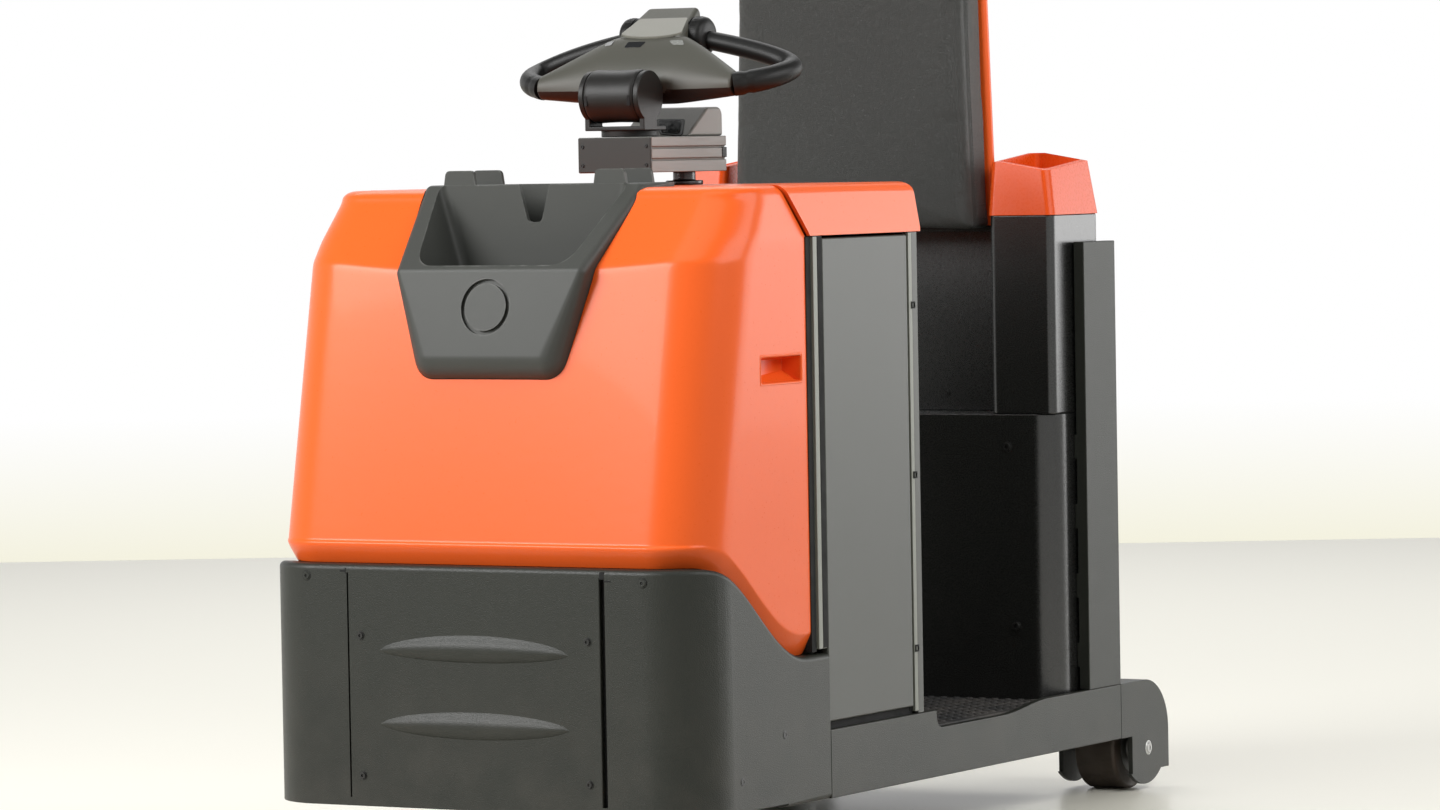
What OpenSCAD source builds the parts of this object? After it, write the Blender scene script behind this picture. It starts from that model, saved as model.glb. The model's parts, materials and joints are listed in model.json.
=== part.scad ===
// Electric stand-in tow tractor with a single steered drive wheel under the nose,
// a standing platform in the middle and a padded backrest tower over two small rear wheels.
// Millimetres, +Z up. The nose faces -Y, and the frame stands on Z = 0.
// Lengths along the truck are measured rearwards from the front of the nose.

/* [Lengths along the truck] */
// Nose, from its front to the front bulkhead
nose_l = 383; // [360:1:460]
// Front bulkhead thickness
jamb_t = 10; // [6:1:14]
// Battery bay between the bulkheads
bay_l = 293; // [260:1:420]
// Rear bulkhead thickness
wall_t = 19; // [12:1:30]
// Standing room from the rear bulkhead to the tower
room_l = 510; // [450:1:650]
// Tower base from front to back
tower_l = 176; // [160:1:220]
// Rear plate thickness
rear_plate_t = 10; // [8:1:16]
// Rear wheel housings behind the rear plate
housing_l = 179; // [172:1:200]

/* [Chassis] */
// Width over the side beams
overall_w = 790; // [740:1:900]
// Side beam thickness
beam_t = 12; // [8:1:14]
// Underside of the side beams
beam_bottom = 94; // [80:1:110]
// Top of the side beams below the battery door
beam_top = 200; // [190:1:230]
// Step-in height at the entry notch
sill_z = 172; // [160:1:178]
// Top of the side beams behind the entry notch
deck_z = 186; // [182:1:200]
// Corner radius at the front of the entry notch
notch_r = 18; // [8:1:20]
// Start of the entry notch behind the rear bulkhead
notch_start = 40; // [20:1:60]
// Length of the flat stretch of the entry notch
notch_flat = 208; // [150:1:240]
// Length of the ramp that leads up from the notch to the deck
notch_ramp = 168; // [120:1:190]
// Floor plate thickness
floor_t = 8; // [5:1:10]
// Top of the platform's steel floor
floor_top = 164; // [155:1:168]
// Rubber mat thickness
mat_t = 10; // [6:1:12]
// Battery floor thickness
bay_floor_t = 10; // [8:1:14]
// Underside of the battery floor above that of the side beams
bay_floor_lift = 6; // [2:1:12]
// Gap between the mat and the walls round it
mat_gap = 3; // [2:1:8]
// Corner radius of the mat
mat_r = 20; // [8:1:40]

/* [Nose skirt] */
// Thickness of the cast skirt, which also weighs the nose down
skirt_t = 24; // [22:1:30]
// Thickness of the removable middle cover
cover_t = 10; // [6:1:14]
// Corner radius of the nose in plan
nose_r = 100; // [60:1:130]
// Underside of the skirt at the front
skirt_bottom = 100; // [96:1:130]
// Top edge at the front
skirt_top = 470; // [440:1:490]
// Top edge beside the battery bay
skirt_tail_top = 318; // [300:1:340]
// Where the side edge starts to fall
curve_start = 40; // [20:1:60]
// Where the side edge has come down
curve_end = 330; // [300:1:345]
// Length of the skirt's own lower edge
skirt_foot_l = 262; // [220:1:300]
// Half width of the removable middle cover
cover_half_w = 224; // [190:1:250]
// Slot between cover and skirt on the hinge side
cover_slot_right = 2; // [1:0.5:4]
// Slot between cover and skirt on the opening side
cover_slot_left = 9; // [4:0.5:14]
// Steel left above and below the cover
cover_margin = 13; // [10:1:30]
// Half length of the two ribs pressed into the cover
rib_half_l = 165; // [120:1:170]
// Height of a rib at its middle
rib_h = 30; // [20:1:36]
// How far a rib stands out
rib_out = 12; // [6:1:20]
// Middle height of the upper rib
rib_upper_z = 344; // [320:1:380]
// Middle height of the lower rib
rib_lower_z = 226; // [190:1:250]

/* [Hood] */
// Step from the skirt's side in to the hood
hood_inset = 9; // [4:1:14]
// Corner radius of the hood in plan
hood_r = 95; // [70:1:110]
// Corner radius of the hood's top in plan
hood_top_r = 60; // [45:1:70]
// Gap between the hood's rear edge and the front bulkhead
hood_gap = 26; // [16:1:34]
// Thickness of the hood's wall
hood_t = 6; // [4:1:8]
// How far the front leans back between skirt and crease
hood_lean = 90; // [60:1:110]
// How far the middle of the front bulges ahead of its corners at the crease
front_crown = 10; // [0:1:20]
// Height of the crease where the front slope starts
crease_z = 912; // [900:1:930]
// How much higher the crease lies at the corners
crease_rise = 14; // [0:1:20]
// Height of the shoulder line along the sides
shoulder_z = 958; // [950:1:970]
// Top of the hood and of the battery cover
top_z = 1037; // [1025:1:1060]
// Depth of the front slope
slope_l = 100; // [70:1:110]
// Width that the side slope takes off each side
side_slope = 10; // [4:1:30]
// Radius left at the top edges
top_edge = 18; // [8:1:20]
// Height of the tucked-in lip along the lower edge
lip_h = 34; // [20:1:40]
// How far the lip is tucked in
lip_in = 8; // [5:1:12]
// Seam between neighbouring covers
seam = 4; // [2:0.5:6]
// How far the upper seam slants forwards
seam_slant = 58; // [40:1:80]
// Length of the hand recess
recess_l = 124; // [90:1:140]
// Height of the hand recess
recess_h = 40; // [30:1:50]
// Depth of the hand recess
recess_d = 32; // [20:1:40]
// Middle of the hand recess ahead of the hood's rear edge
recess_back = 80; // [70:1:110]
// Wall round the hand recess
recess_wall = 4; // [3:1:6]
// Height of the hand recess above the ground
recess_z = 758; // [700:1:800]

/* [Storage tray] */
// Lowest edge of the tray's front face
tray_bottom = 748; // [730:1:780]
// Half width at the lowest edge
tray_half_bottom = 141; // [120:1:160]
// Half width at the crease
tray_half_crease = 174; // [165:1:185]
// Half width at the top
tray_half_top = 198; // [188:1:212]
// How far the tray stands out of the hood
tray_proud = 27; // [15:1:30]
// Edge radius along the tray's lower edge
tray_r = 36; // [12:1:40]
// Edge radius along the tray's crease and rims
tray_edge = 12; // [6:1:16]
// How much narrower the tray's face is than its foot in the hood
tray_taper = 5; // [0:1:10]
// Width of the tray's side rims at the top
tray_rim = 30; // [20:1:40]
// Width of the tray's side rims at the crease
tray_rim_low = 43; // [30:1:50]
// Crease of the tray above the hood's crease
tray_crease = 11; // [4:1:16]
// Top of the tray's rims above the hood
rim_lift = 7; // [4:1:12]
// Wall between the open pocket and the document slot, measured from the nose to its rear face
tray_wall_y = 207; // [195:1:215]
// Length of the document slot behind that wall
slot_l = 73; // [50:1:76]
// Depth of the document slot
slot_d = 150; // [80:1:200]
// Thickness of the tray's walls
tray_t = 7; // [5:1:10]
// Floor of the pocket
pocket_floor = 790; // [780:1:840]
// Height of the pocket's front edge
pocket_lip_z = 932; // [926:1:940]
// Top of the lugs on the cross walls
lug_top = 1066; // [1064:1:1090]
// Inner edge of a lug
lug_in = 102; // [80:1:110]
// Outer edge of a lug
lug_out = 168; // [150:1:175]
// How far a lug's sides lean in
lug_lean = 8; // [2:1:14]
// Half width of the notch between the lugs
vee_half = 28; // [15:1:40]
// Half width of the notch's floor
vee_floor_half = 12; // [6:1:14]
// Depth of the notch
vee_d = 58; // [30:1:70]
// Diameter of the blank disc on the tray's face
disc_d = 82; // [60:1:100]
// Width of the groove round the disc
disc_groove = 4; // [2:0.5:6]
// Depth of that groove
disc_groove_d = 3; // [1:0.5:5]
// Height of the disc
disc_z = 860; // [850:1:870]

/* [Battery bay] */
// Gap round the battery door
door_gap = 4; // [2:1:6]
// Gap below the battery door
door_foot_gap = 12; // [8:1:16]
// Thickness of a battery door
door_t = 15; // [10:1:18]
// Diameter of the two pegs that a door stands on
peg_d = 9; // [6:1:12]
// Distance of a peg from the door's end
peg_in = 30; // [15:1:60]
// Foot of the strip beside the door above the skirt's tail
strip_lift = 8; // [4:1:16]
// How far the door sits behind the beam's face
door_set = 2; // [0:1:4]
// Room left round the battery
battery_gap = 6; // [4:1:12]
// Room above the battery, below the shoulder line
battery_head = 68; // [30:1:200]
// How far the battery cover overhangs the rear bulkhead
cover_overhang = 12; // [2:1:14]
// Edge radius at the cover's rear end
cover_rear_r = 20; // [10:1:26]

/* [Tower] */
// Room between a side of the tower and the outside of the beams
tower_side = 23; // [21:1:40]
// Corner radius of the tower base
tower_r = 45; // [25:1:60]
// Wall thickness of the tower mouldings
tower_t = 6; // [4:1:8]
// Top of the tower base
tower_top = 647; // [600:1:700]
// Top of the two pillars
pillar_top = 975; // [950:1:990]
// Width of a pillar
pillar_w = 118; // [100:1:124]
// Depth of a pillar
pillar_d = 174; // [130:1:176]
// Edge radius of a pillar
pillar_r = 14; // [6:1:20]
// Front of the wall between the pillars, behind the tower's front
niche_d = 103; // [100:1:110]
// Thickness of the wall between the pillars
niche_t = 12; // [8:1:16]
// Height of a cup at its front outer corner
cup_h = 74; // [60:1:100]
// How much higher a cup's inner edge is
cup_rise_in = 14; // [0:1:30]
// How much higher a cup's rear edge is
cup_rise_back = 14; // [0:1:30]
// How far a cup stands out over its pillar
cup_lap = 2; // [1:1:4]
// How far a cup's front and outer side taper in
cup_taper = 15; // [8:1:18]
// How far a cup's rear tapers in
cup_back_taper = 4; // [0:1:12]
// Wall left round the cup's opening
cup_wall = 10; // [8:1:16]
// Corner radius of the cup's opening
cup_pocket_r = 10; // [4:1:16]
// Depth of the cup's pocket at its shallow end
cup_pocket = 58; // [40:1:60]
// Thickness of the rear posts
post_t = 19; // [14:1:21]
// Width of the rear posts
post_w = 116; // [90:1:130]
// Top of the rear posts
post_top = 929; // [880:1:950]
// Height of the spacers between a rear post and the tower
spacer_h = 40; // [25:1:50]
// Length of those spacers
spacer_l = 60; // [40:1:90]

/* [Backrest] */
// Gap between the pad's lower corners and the pillars
pad_side = 28; // [10:1:40]
// How far each side of the pad leans in towards its top
pad_lean = 13; // [0:1:24]
// Lower edge of the pad
pad_low = 953; // [940:1:960]
// Top of the pad
pad_top = 1400; // [1350:1:1450]
// Thickness of the pad
pad_t = 88; // [60:1:90]
// Thickness of the shell behind the pad
shell_t = 34; // [25:1:40]
// Thickness of the shell's rim
shell_rim = 18; // [12:1:24]
// Step from the shell's rim in to its back
shell_step = 34; // [20:1:60]
// How far the shell shows round the pad's sides and top
shell_show = 4; // [3:1:6]
// Corner radius at the top of the backrest
back_r = 46; // [30:1:60]

/* [Rear wheels] */
// Diameter of a rear wheel
rear_d = 140; // [130:1:146]
// Tread width of a rear wheel
rear_w = 74; // [60:1:84]
// Axle ahead of the housing's rear end
rear_axle_in = 76; // [72:1:82]
// Axle diameter
axle_d = 25; // [20:1:28]
// Hub diameter
hub_d = 84; // [70:1:90]
// Width of a housing over its cheeks
housing_w = 139; // [130:1:150]
// Plate thickness of a housing
housing_t = 8; // [6:1:10]
// Length of the flat stretch on the housing's rounded top
roof_flat = 3; // [1:0.5:8]
// Underside of the housing
housing_bottom = 32; // [20:1:45]
// How far the housing's front edge stands clear of the rear plate
housing_step = 40; // [30:1:45]
// How far the housing's roof plate reaches down its rear side
roof_lap = 8; // [4:1:12]
// How far a hub's sleeve stands out beside the tread
hub_sleeve = 4; // [2:0.5:6]
// Wall of that sleeve
hub_sleeve_t = 10; // [6:1:14]
// Shoulder radius of a tread
rear_shoulder = 6; // [3:1:10]

/* [Drive unit] */
// Steering axis behind the middle of the nose's inside
steer_shift = 11.5; // [0:0.5:14]
// Diameter of the drive wheel
drive_d = 250; // [230:1:254]
// Tread width of the drive wheel
drive_w = 90; // [70:1:96]
// Diameter of the drive wheel's hub
drive_hub_d = 170; // [150:1:180]
// Drive axle diameter
drive_axle_d = 40; // [30:1:46]
// Thickness of the gear case beside the wheel
gear_t = 46; // [36:1:50]
// Running gap between wheel and gear case
drive_gap = 10; // [6:1:14]
// Width of the gear case from front to back
case_w = 150; // [120:1:180]
// Shoulder radius of the drive wheel's tread
drive_shoulder = 8; // [4:1:12]
// How much wider the turntable's neck is than the motor
neck_extra = 8; // [4:1:12]
// Underside of the turntable
table_z = 262; // [260:1:275]
// Thickness of the turntable
table_t = 24; // [18:1:28]
// Turntable diameter
table_d = 250; // [240:1:270]
// Thickness of the mount plate
mount_t = 16; // [12:1:20]
// Diameter of the traction motor
motor_d = 190; // [150:1:196]
// Height of the traction motor above the mount plate
motor_h = 230; // [180:1:280]

/* [Steering console] */
// Column ahead of the rear bulkhead's rear face
column_back = 48; // [46:1:80]
// Column diameter
column_d = 36; // [30:1:54]
// Diameter of the column's foot
column_foot_d = 60; // [50:1:110]
// Thickness of the column's foot
column_foot_t = 7; // [5:1:12]
// Underside of the console beam above the covers
beam_lift = 21; // [16:1:40]
// Width of the console beam
console_w = 134; // [110:1:150]
// Length of the console beam
console_l = 234; // [220:1:260]
// Height of the console beam
console_h = 56; // [45:1:70]
// Rear end of the beam ahead of the rear bulkhead's rear face
console_back = 28; // [10:1:40]
// Length of the wedge-shaped display housing
display_l = 112; // [90:1:120]
// Height of the display housing
display_h = 46; // [30:1:48]
// Step from the side of the console beam in to the display housing
display_in = 6; // [2:1:12]
// Edge radius at the rear of the display housing
display_r = 14; // [6:1:18]
// Length of the display housing's level top
display_flat = 46; // [20:1:60]
// Width and depth of the grooves along the console beam
console_groove = 3; // [2:0.5:5]
// Swivel axis behind the beam's front end
swivel_in = 47; // [46:1:60]
// Diameter of the swivel disc
swivel_d = 90; // [80:1:92]
// Thickness of the swivel disc
swivel_t = 10; // [8:1:12]
// Tilt axis ahead of the swivel axis
tilt_ahead = 27; // [20:1:50]
// Tilt axis above the console beam
tilt_h = 64; // [60:1:80]
// Diameter of the tilt barrel
barrel_d = 84; // [70:1:90]
// Length of the tilt barrel
barrel_l = 90; // [76:1:124]
// Gap between the barrel and the neck below it
barrel_gap = 5; // [4:1:8]
// Thickness of the cheeks beside the barrel
barrel_cheek = 9; // [6:1:14]
// Diameter of the tilt shaft
tilt_shaft_d = 30; // [20:1:36]

/* [Steering handle] */
// Rise of the handle's plane towards the rear
handle_rise = 16; // [10:1:20]
// Half width of the handle over its grips
handle_half_w = 250; // [240:1:280]
// Diameter of a grip where it leaves the thumb rocker
grip_d = 30; // [26:1:34]
// Diameter of a grip where it meets the wing's tip
grip_root_d = 38; // [32:1:42]
// Outermost bend of a grip behind the tilt axis
grip_back = 135; // [120:1:150]
// Pull of the grip's curve away from the rocker
grip_pull_out = 100; // [80:1:110]
// Pull of the grip's curve at its outermost bend
grip_pull_side = 37; // [25:1:45]
// Pull of the grip's curve where it meets the wing
grip_pull_tip = 34; // [20:1:45]
// How far a grip's ends are sunk into the rocker and the wing
grip_sink = 6; // [3:1:12]
// Half width of the grey wing
wing_half_w = 180; // [170:1:190]
// Wing tip behind the tilt axis
wing_back = 57; // [50:1:70]
// Edge radius at the wing's tips
wing_tip_r = 19; // [14:1:21]
// Edge radius at the wing's middle
wing_r = 23; // [16:1:26]
// Front of the wing behind the barrel's rear side
wing_start = 12; // [8:1:20]
// Length of the wing's middle
wing_mid = 50; // [30:1:60]
// Rise of the wing's middle
wing_rise = 11; // [4:1:16]
// Rear of the middle pod behind the tilt axis
pod_back = 210; // [200:1:220]
// Top of the middle pod above the handle's plane
pod_rise = 90; // [70:1:96]
// Lower edge of the pod's face behind the tilt axis
pod_face = 118; // [105:1:130]
// Lower edge of the pod's face above the handle's plane
pod_face_rise = 69; // [55:1:75]
// Half width of the pod at the lower edge of its face
pod_half_w = 62; // [52:1:68]
// Upper edge of the pod's face behind the tilt axis
pod_brow = 172; // [160:1:185]
// Upper edge of the pod's face above the handle's plane
pod_brow_rise = 81; // [70:1:88]
// Half width of the pod at its top
pod_top_half_w = 46; // [38:1:52]
// Edge radius of the middle pod
pod_r = 16; // [8:1:18]
// Diameter of the round end that carries a thumb rocker
rocker_d = 62; // [40:1:66]
// Width of that round end
rocker_w = 24; // [18:1:40]
// Inner end of the rocker from the handle's middle
rocker_x = 50; // [44:1:56]
// Middle of the rocker ahead of the pod's rear
rocker_ahead = 40; // [30:1:50]
// Middle of the rocker below the top of the pod
rocker_drop = 41; // [30:1:46]
// Room between the handle and the cheeks beside the barrel
cheek_room = 6; // [5:1:10]

/* [Tow coupling] */
// Height of the coupling's mouth
jaw_z = 290; // [250:1:330]
// Width of the coupling
jaw_w = 120; // [100:1:140]
// Length of the coupling behind the rear plate
jaw_l = 120; // [100:1:140]
// Opening between the two jaw plates
jaw_gap = 50; // [40:1:60]
// Thickness of a jaw plate
jaw_t = 16; // [12:1:20]
// Bore for the tow pin
tow_bore_d = 27; // [22:0.5:32]
// Diameter of the tow pin
tow_pin_d = 25; // [20:0.5:28]
// Length of the tow pin
tow_pin_l = 150; // [120:1:180]
// Solid root of the coupling
jaw_root = 30; // [20:1:40]
// Width of the ear that holds the parked pin
ear_w = 50; // [44:1:60]
// Length of that ear
ear_l = 46; // [44:1:60]
// How far the pin's collars stand out
collar = 6; // [4:1:10]
// Thickness of the pin's collars
collar_t = 9; // [6:1:12]
// How far the parked pin reaches below its ear
pin_below = 30; // [10:1:60]

/* [Fits] */
// Small gap between pieces that lie against each other
fit = 0.3; // [0.2:0.05:0.5]
// Radial running clearance of shafts in bores
run = 0.08; // [0.02:0.01:0.1]

/* [Hidden] */
$fn = 64;
hull_fn = 32;

// Stations behind the nose
bay_y = nose_l + jamb_t;
wall_y = bay_y + bay_l;
room_y = wall_y + wall_t;
tower_y = room_y + room_l;
rear_y = tower_y + tower_l;
housing_y = rear_y + rear_plate_t;
truck_l = housing_y + housing_l;
overall_l = rib_out + truck_l;

// Widths
half_w = overall_w / 2;
beam_in = half_w - beam_t;
skirt_in = half_w - skirt_t;
hood_half = half_w - hood_inset;

// Battery bay
door_y0 = bay_y + door_gap;
door_y1 = wall_y - door_gap;
skirt_l = door_y0;
door_x = half_w - door_set;
bay_floor_top = beam_bottom + bay_floor_lift + bay_floor_t;
hood_rear = nose_l - hood_gap;

// Tower
tower_half_w = half_w - tower_side;
pillar_in = tower_half_w - pillar_w;
pad_half_low = pillar_in - pad_side;
pad_half_top = pad_half_low - pad_lean;
pad_front = tower_y + niche_d - shell_t - fit - pad_t;
shell_y = tower_y + niche_d - shell_t;

// Rear wheels
axle_y = truck_l - rear_axle_in;
housing_r = (housing_l - roof_flat) / 2;
rear_r = rear_d / 2;
cheek_x = half_w - housing_w;
wheel_x = half_w - housing_w / 2;

// Drive unit
drive_r = drive_d / 2;
steer_y = (skirt_t + nose_l) / 2 + steer_shift;
mount_z = table_z + table_t + fit;
neck_d = motor_d + neck_extra;
gear_x = drive_w / 2 + drive_gap;

// Steering console
console_z = top_z + beam_lift;
console_top = console_z + console_h;
console_y1 = room_y - console_back;
console_y0 = console_y1 - console_l;
column_y = room_y - column_back;
swivel_y = console_y0 + swivel_in;
tilt_y = swivel_y - tilt_ahead;
tilt_z = console_top + tilt_h;

// Storage tray
tray_rear = tray_wall_y + slot_l + tray_t;
tray_top = top_z + rim_lift;
pocket_y1 = tray_wall_y - tray_t;

// Steering handle
rocker_y = pod_back - rocker_ahead;
rocker_z = pod_rise - rocker_drop;

// Reach of cuts that pass right through
through = 2;

// Places its children by their distance behind the nose
module from_nose() {
  translate([0, rib_out - overall_l / 2, 0]) children();
}

// Extrudes a side view, drawn as [length, height], from x over a width w
module from_side(x, w) {
  translate([x, 0, 0]) rotate([90, 0, 90]) linear_extrude(w) children();
}

// Extrudes a front view, drawn as [width, height], rearwards from y over a length l
module from_front(y, l) {
  translate([0, y + l, 0]) rotate([90, 0, 0]) linear_extrude(l) children();
}

// Draws its children on both sides of the truck
module both_sides() {
  children();
  mirror([1, 0, 0]) children();
}

// Rectangle with round corners, from corner [x, y], made of true arcs
module round_rect(x, y, w, h, r) {
  translate([x + r, y]) square([w - 2 * r, h]);
  translate([x, y + r]) square([w, h - 2 * r]);
  for (i = [0, 1], j = [0, 1]) {
    translate([x + r + i * (w - 2 * r), y + r + j * (h - 2 * r)]) circle(r);
  }
}

// Smooth step from 1 down to 0 as t goes from 0 to 1
function fall(t) = (1 + cos(180 * min(max(t, 0), 1))) / 2;

// Height of the skirt's upper edge at a length y behind the nose
function skirt_edge(y) =
  skirt_tail_top + (skirt_top - skirt_tail_top) * fall((y - curve_start) / (curve_end - curve_start));

// Area above the skirt's upper edge, raised by lift
module above_edge(lift) {
  steps = 20;
  run_l = skirt_l + curve_start;
  polygon(concat(
    [[-nose_r, 2 * top_z], [-nose_r, skirt_top + lift]],
    [for (i = [0 : steps]) let (y = curve_start + i * (curve_end - curve_start) / steps)
      [y, skirt_edge(y) + lift]],
    [[run_l, skirt_tail_top + lift], [run_l, 2 * top_z]]));
}

// Plan of the nose with its two round front corners, grown inwards by d
module nose_plan(d, l) {
  r = nose_r - d;
  translate([-half_w + d, d + r]) square([2 * (half_w - d), l - d - r]);
  translate([-half_w + d + r, d]) square([2 * (half_w - d - r), l - d]);
  for (s = [-1, 1]) translate([s * (half_w - d - r), d + r]) circle(r);
}

// Room for the cover in the skirt's front
module cover_window(gap_right, gap_left, gap_z) {
  z0 = skirt_bottom + cover_margin + gap_z;
  z1 = skirt_top - cover_margin - gap_z;
  translate([-cover_half_w - gap_right, -1, z0])
    cube([2 * cover_half_w + gap_right + gap_left, skirt_t + 2, z1 - z0]);
}

module nose_skirt() {
  color("#43463f") from_nose() difference() {
    translate([0, 0, beam_bottom]) linear_extrude(skirt_top - beam_bottom) difference() {
      nose_plan(0, skirt_l);
      nose_plan(skirt_t, skirt_l + 1);
    }
    from_side(-half_w - 1, overall_w + 2) above_edge(0);
    translate([-half_w - 1, -1, beam_bottom - 1])
      cube([overall_w + 2, skirt_foot_l + 1, skirt_bottom - beam_bottom + 1]);
    cover_window(cover_slot_right, cover_slot_left, 0);
  }
}

// Lens-shaped rib on the cover, cut from a flat disc that lies in the cover
module cover_rib(z) {
  big_r = (rib_half_l * rib_half_l + rib_out * rib_out) / (2 * rib_out);
  intersection() {
    translate([0, big_r - rib_out, z - rib_h / 2]) cylinder(r = big_r, h = rib_h, $fn = 180);
    translate([-rib_half_l, -rib_out - 1, z - rib_h / 2])
      cube([2 * rib_half_l, rib_out + 1 + cover_t / 2, rib_h]);
  }
}

module skirt_cover() {
  color("#40433d") from_nose() {
    intersection() {
      cover_window(0, 0, fit);
      translate([-half_w, 0, 0]) cube([overall_w, cover_t, skirt_top]);
    }
    for (z = [rib_upper_z, rib_lower_z]) cover_rib(z);
  }
}

// Side view of a beam with its entry notch
module beam_side() {
  y0 = skirt_l;
  y_notch = room_y + notch_start;
  y_ramp = y_notch + notch_r + notch_flat;
  steps = 10;
  difference() {
    polygon(concat(
      [[y0, beam_bottom], [housing_y, beam_bottom], [housing_y, deck_z]],
      [for (i = [0 : steps]) let (t = i / steps)
        [y_ramp + notch_ramp * (1 - t), sill_z + (deck_z - sill_z) * fall(t)]],
      [[y_notch + notch_r, sill_z], [y_notch + notch_r, beam_top], [y0, beam_top]]));
    translate([y_notch + notch_r, sill_z + notch_r]) circle(notch_r);
    translate([y_notch, sill_z + notch_r]) square([notch_r + 1, beam_top]);
  }
}

module side_beam() {
  color("#4c4f49") from_nose() from_side(beam_in, beam_t) beam_side();
}

module side_beam_left() side_beam();

module side_beam_right() mirror([1, 0, 0]) side_beam();

module bay_floor() {
  color("#3a3c39") from_nose()
    translate([-beam_in, skirt_l, bay_floor_top - bay_floor_t])
      cube([2 * beam_in, room_y - skirt_l, bay_floor_t]);
}

module front_bulkhead() {
  strip_foot = skirt_tail_top + strip_lift;
  color("#6e716a") from_nose() {
    translate([-skirt_in, nose_l, skirt_bottom]) cube([2 * skirt_in, jamb_t, strip_foot - skirt_bottom]);
    translate([-door_x, nose_l, strip_foot]) cube([2 * door_x, jamb_t, shoulder_z - strip_foot]);
  }
}

module rear_bulkhead() {
  color("#585b55") from_nose() {
    translate([-beam_in, wall_y, bay_floor_top]) cube([2 * beam_in, wall_t, beam_top - bay_floor_top]);
    translate([-door_x, wall_y, beam_top]) cube([2 * door_x, wall_t, shoulder_z - beam_top]);
  }
}

module platform_floor() {
  color("#3a3c39") from_nose()
    translate([-beam_in, room_y, floor_top - floor_t])
      cube([2 * beam_in, rear_y - room_y, floor_t]);
}

module platform_mat() {
  color("#1d1e1d") from_nose()
    translate([0, 0, floor_top]) linear_extrude(mat_t)
      round_rect(-beam_in + mat_gap, room_y + mat_gap, 2 * (beam_in - mat_gap), room_l - 2 * mat_gap, mat_r);
}

module drive_mount() {
  color("#3a3c39") from_nose() translate([0, 0, mount_z]) linear_extrude(mount_t) difference() {
    nose_plan(skirt_t, nose_l);
    translate([0, steer_y]) circle(d = neck_d + 2 * run);
  }
}

// Solid form of the hood, grown inwards by d and reaching rearwards to y1.
// Each level is [height, taken off each side, taken off the front, corner radius].
// Between the two front corners the crease sags and bulges forwards along a curve.
module hood_form(d, y1) {
  corner_z = crease_z + crease_rise;
  shoulder_l = slope_l * (shoulder_z - corner_z) / (top_z - corner_z);
  soft = 1 - cos(45);
  levels = [
    [skirt_tail_top - lip_h, 0, 0, hood_r],
    [skirt_top, 0, 0, hood_r],
    [corner_z, 0, hood_lean, hood_r],
    [shoulder_z, 0, hood_lean + shoulder_l, hood_r],
    [top_z - top_edge, side_slope, hood_lean + slope_l - top_edge, (hood_r + hood_top_r) / 2],
    [top_z - d - soft * top_edge, side_slope + soft * top_edge, hood_lean + slope_l - soft * top_edge,
     hood_top_r],
    [top_z - d, side_slope + top_edge, hood_lean + slope_l + top_edge / 2, hood_top_r]];
  steps = 4;
  intersection() {
    translate([-half_w, 0, 0]) cube([overall_w, y1, 2 * top_z]);
    hull() {
      for (l = levels) {
        r = l[3] - d;
        hw = hood_half - l[1] - d;
        y0 = hood_inset + l[2] + d;
        translate([0, 0, l[0] - 1]) {
          for (s = [-1, 1]) translate([s * (hw - r), y0 + r, 0]) cylinder(r = r, h = 1, $fn = hull_fn);
          translate([-hw, y1 - 1, 0]) cube([2 * hw, 1, 1]);
        }
      }
      for (i = [-steps : steps]) let (u = i / steps)
        translate([u * (hood_half - hood_r), hood_inset + hood_lean + d - front_crown * (1 - u * u),
                   crease_z + crease_rise * u * u - 1])
          cube(1);
    }
  }
}

// Side view of everything behind the slanted upper seam
module behind_seam() {
  polygon([[hood_rear, shoulder_z - through], [hood_rear, shoulder_z],
           [hood_rear - seam_slant, top_z], [hood_rear - seam_slant, 2 * top_z],
           [room_y, 2 * top_z], [room_y, shoulder_z - through]]);
}

// Length of the tray's face at a height z
function tray_face(z) =
  hood_inset + (hood_lean - front_crown) * (z - skirt_top) / (crease_z - skirt_top) - tray_proud;

// Solid form of the tray, grown outwards by d. Each front corner is [half width, length, height, radius].
module tray_form(d) {
  low_z = tray_bottom + tray_r;
  fold_z = crease_z + tray_crease - tray_edge;
  corners = [
    [tray_half_bottom - tray_taper, tray_face(low_z), low_z, tray_r],
    [tray_half_crease - tray_taper, tray_face(fold_z), fold_z, tray_edge],
    [tray_half_top, hood_inset + hood_lean + slope_l - rim_lift, tray_top - tray_edge, tray_edge]];
  hull() {
    for (c = corners, s = [-1, 1])
      translate([s * (c[0] - c[3]), c[1] + c[3], c[2]]) sphere(c[3] + d, $fn = hull_fn);
    from_front(tray_rear - 1, 1 + d)
      polygon([[-tray_half_bottom - d, tray_bottom - d], [tray_half_bottom + d, tray_bottom - d],
               [tray_half_crease + d, crease_z], [tray_half_top + d, top_z],
               [tray_half_top + d, tray_top + d], [-tray_half_top - d, tray_top + d],
               [-tray_half_top - d, top_z], [-tray_half_crease - d, crease_z]]);
  }
}

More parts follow.
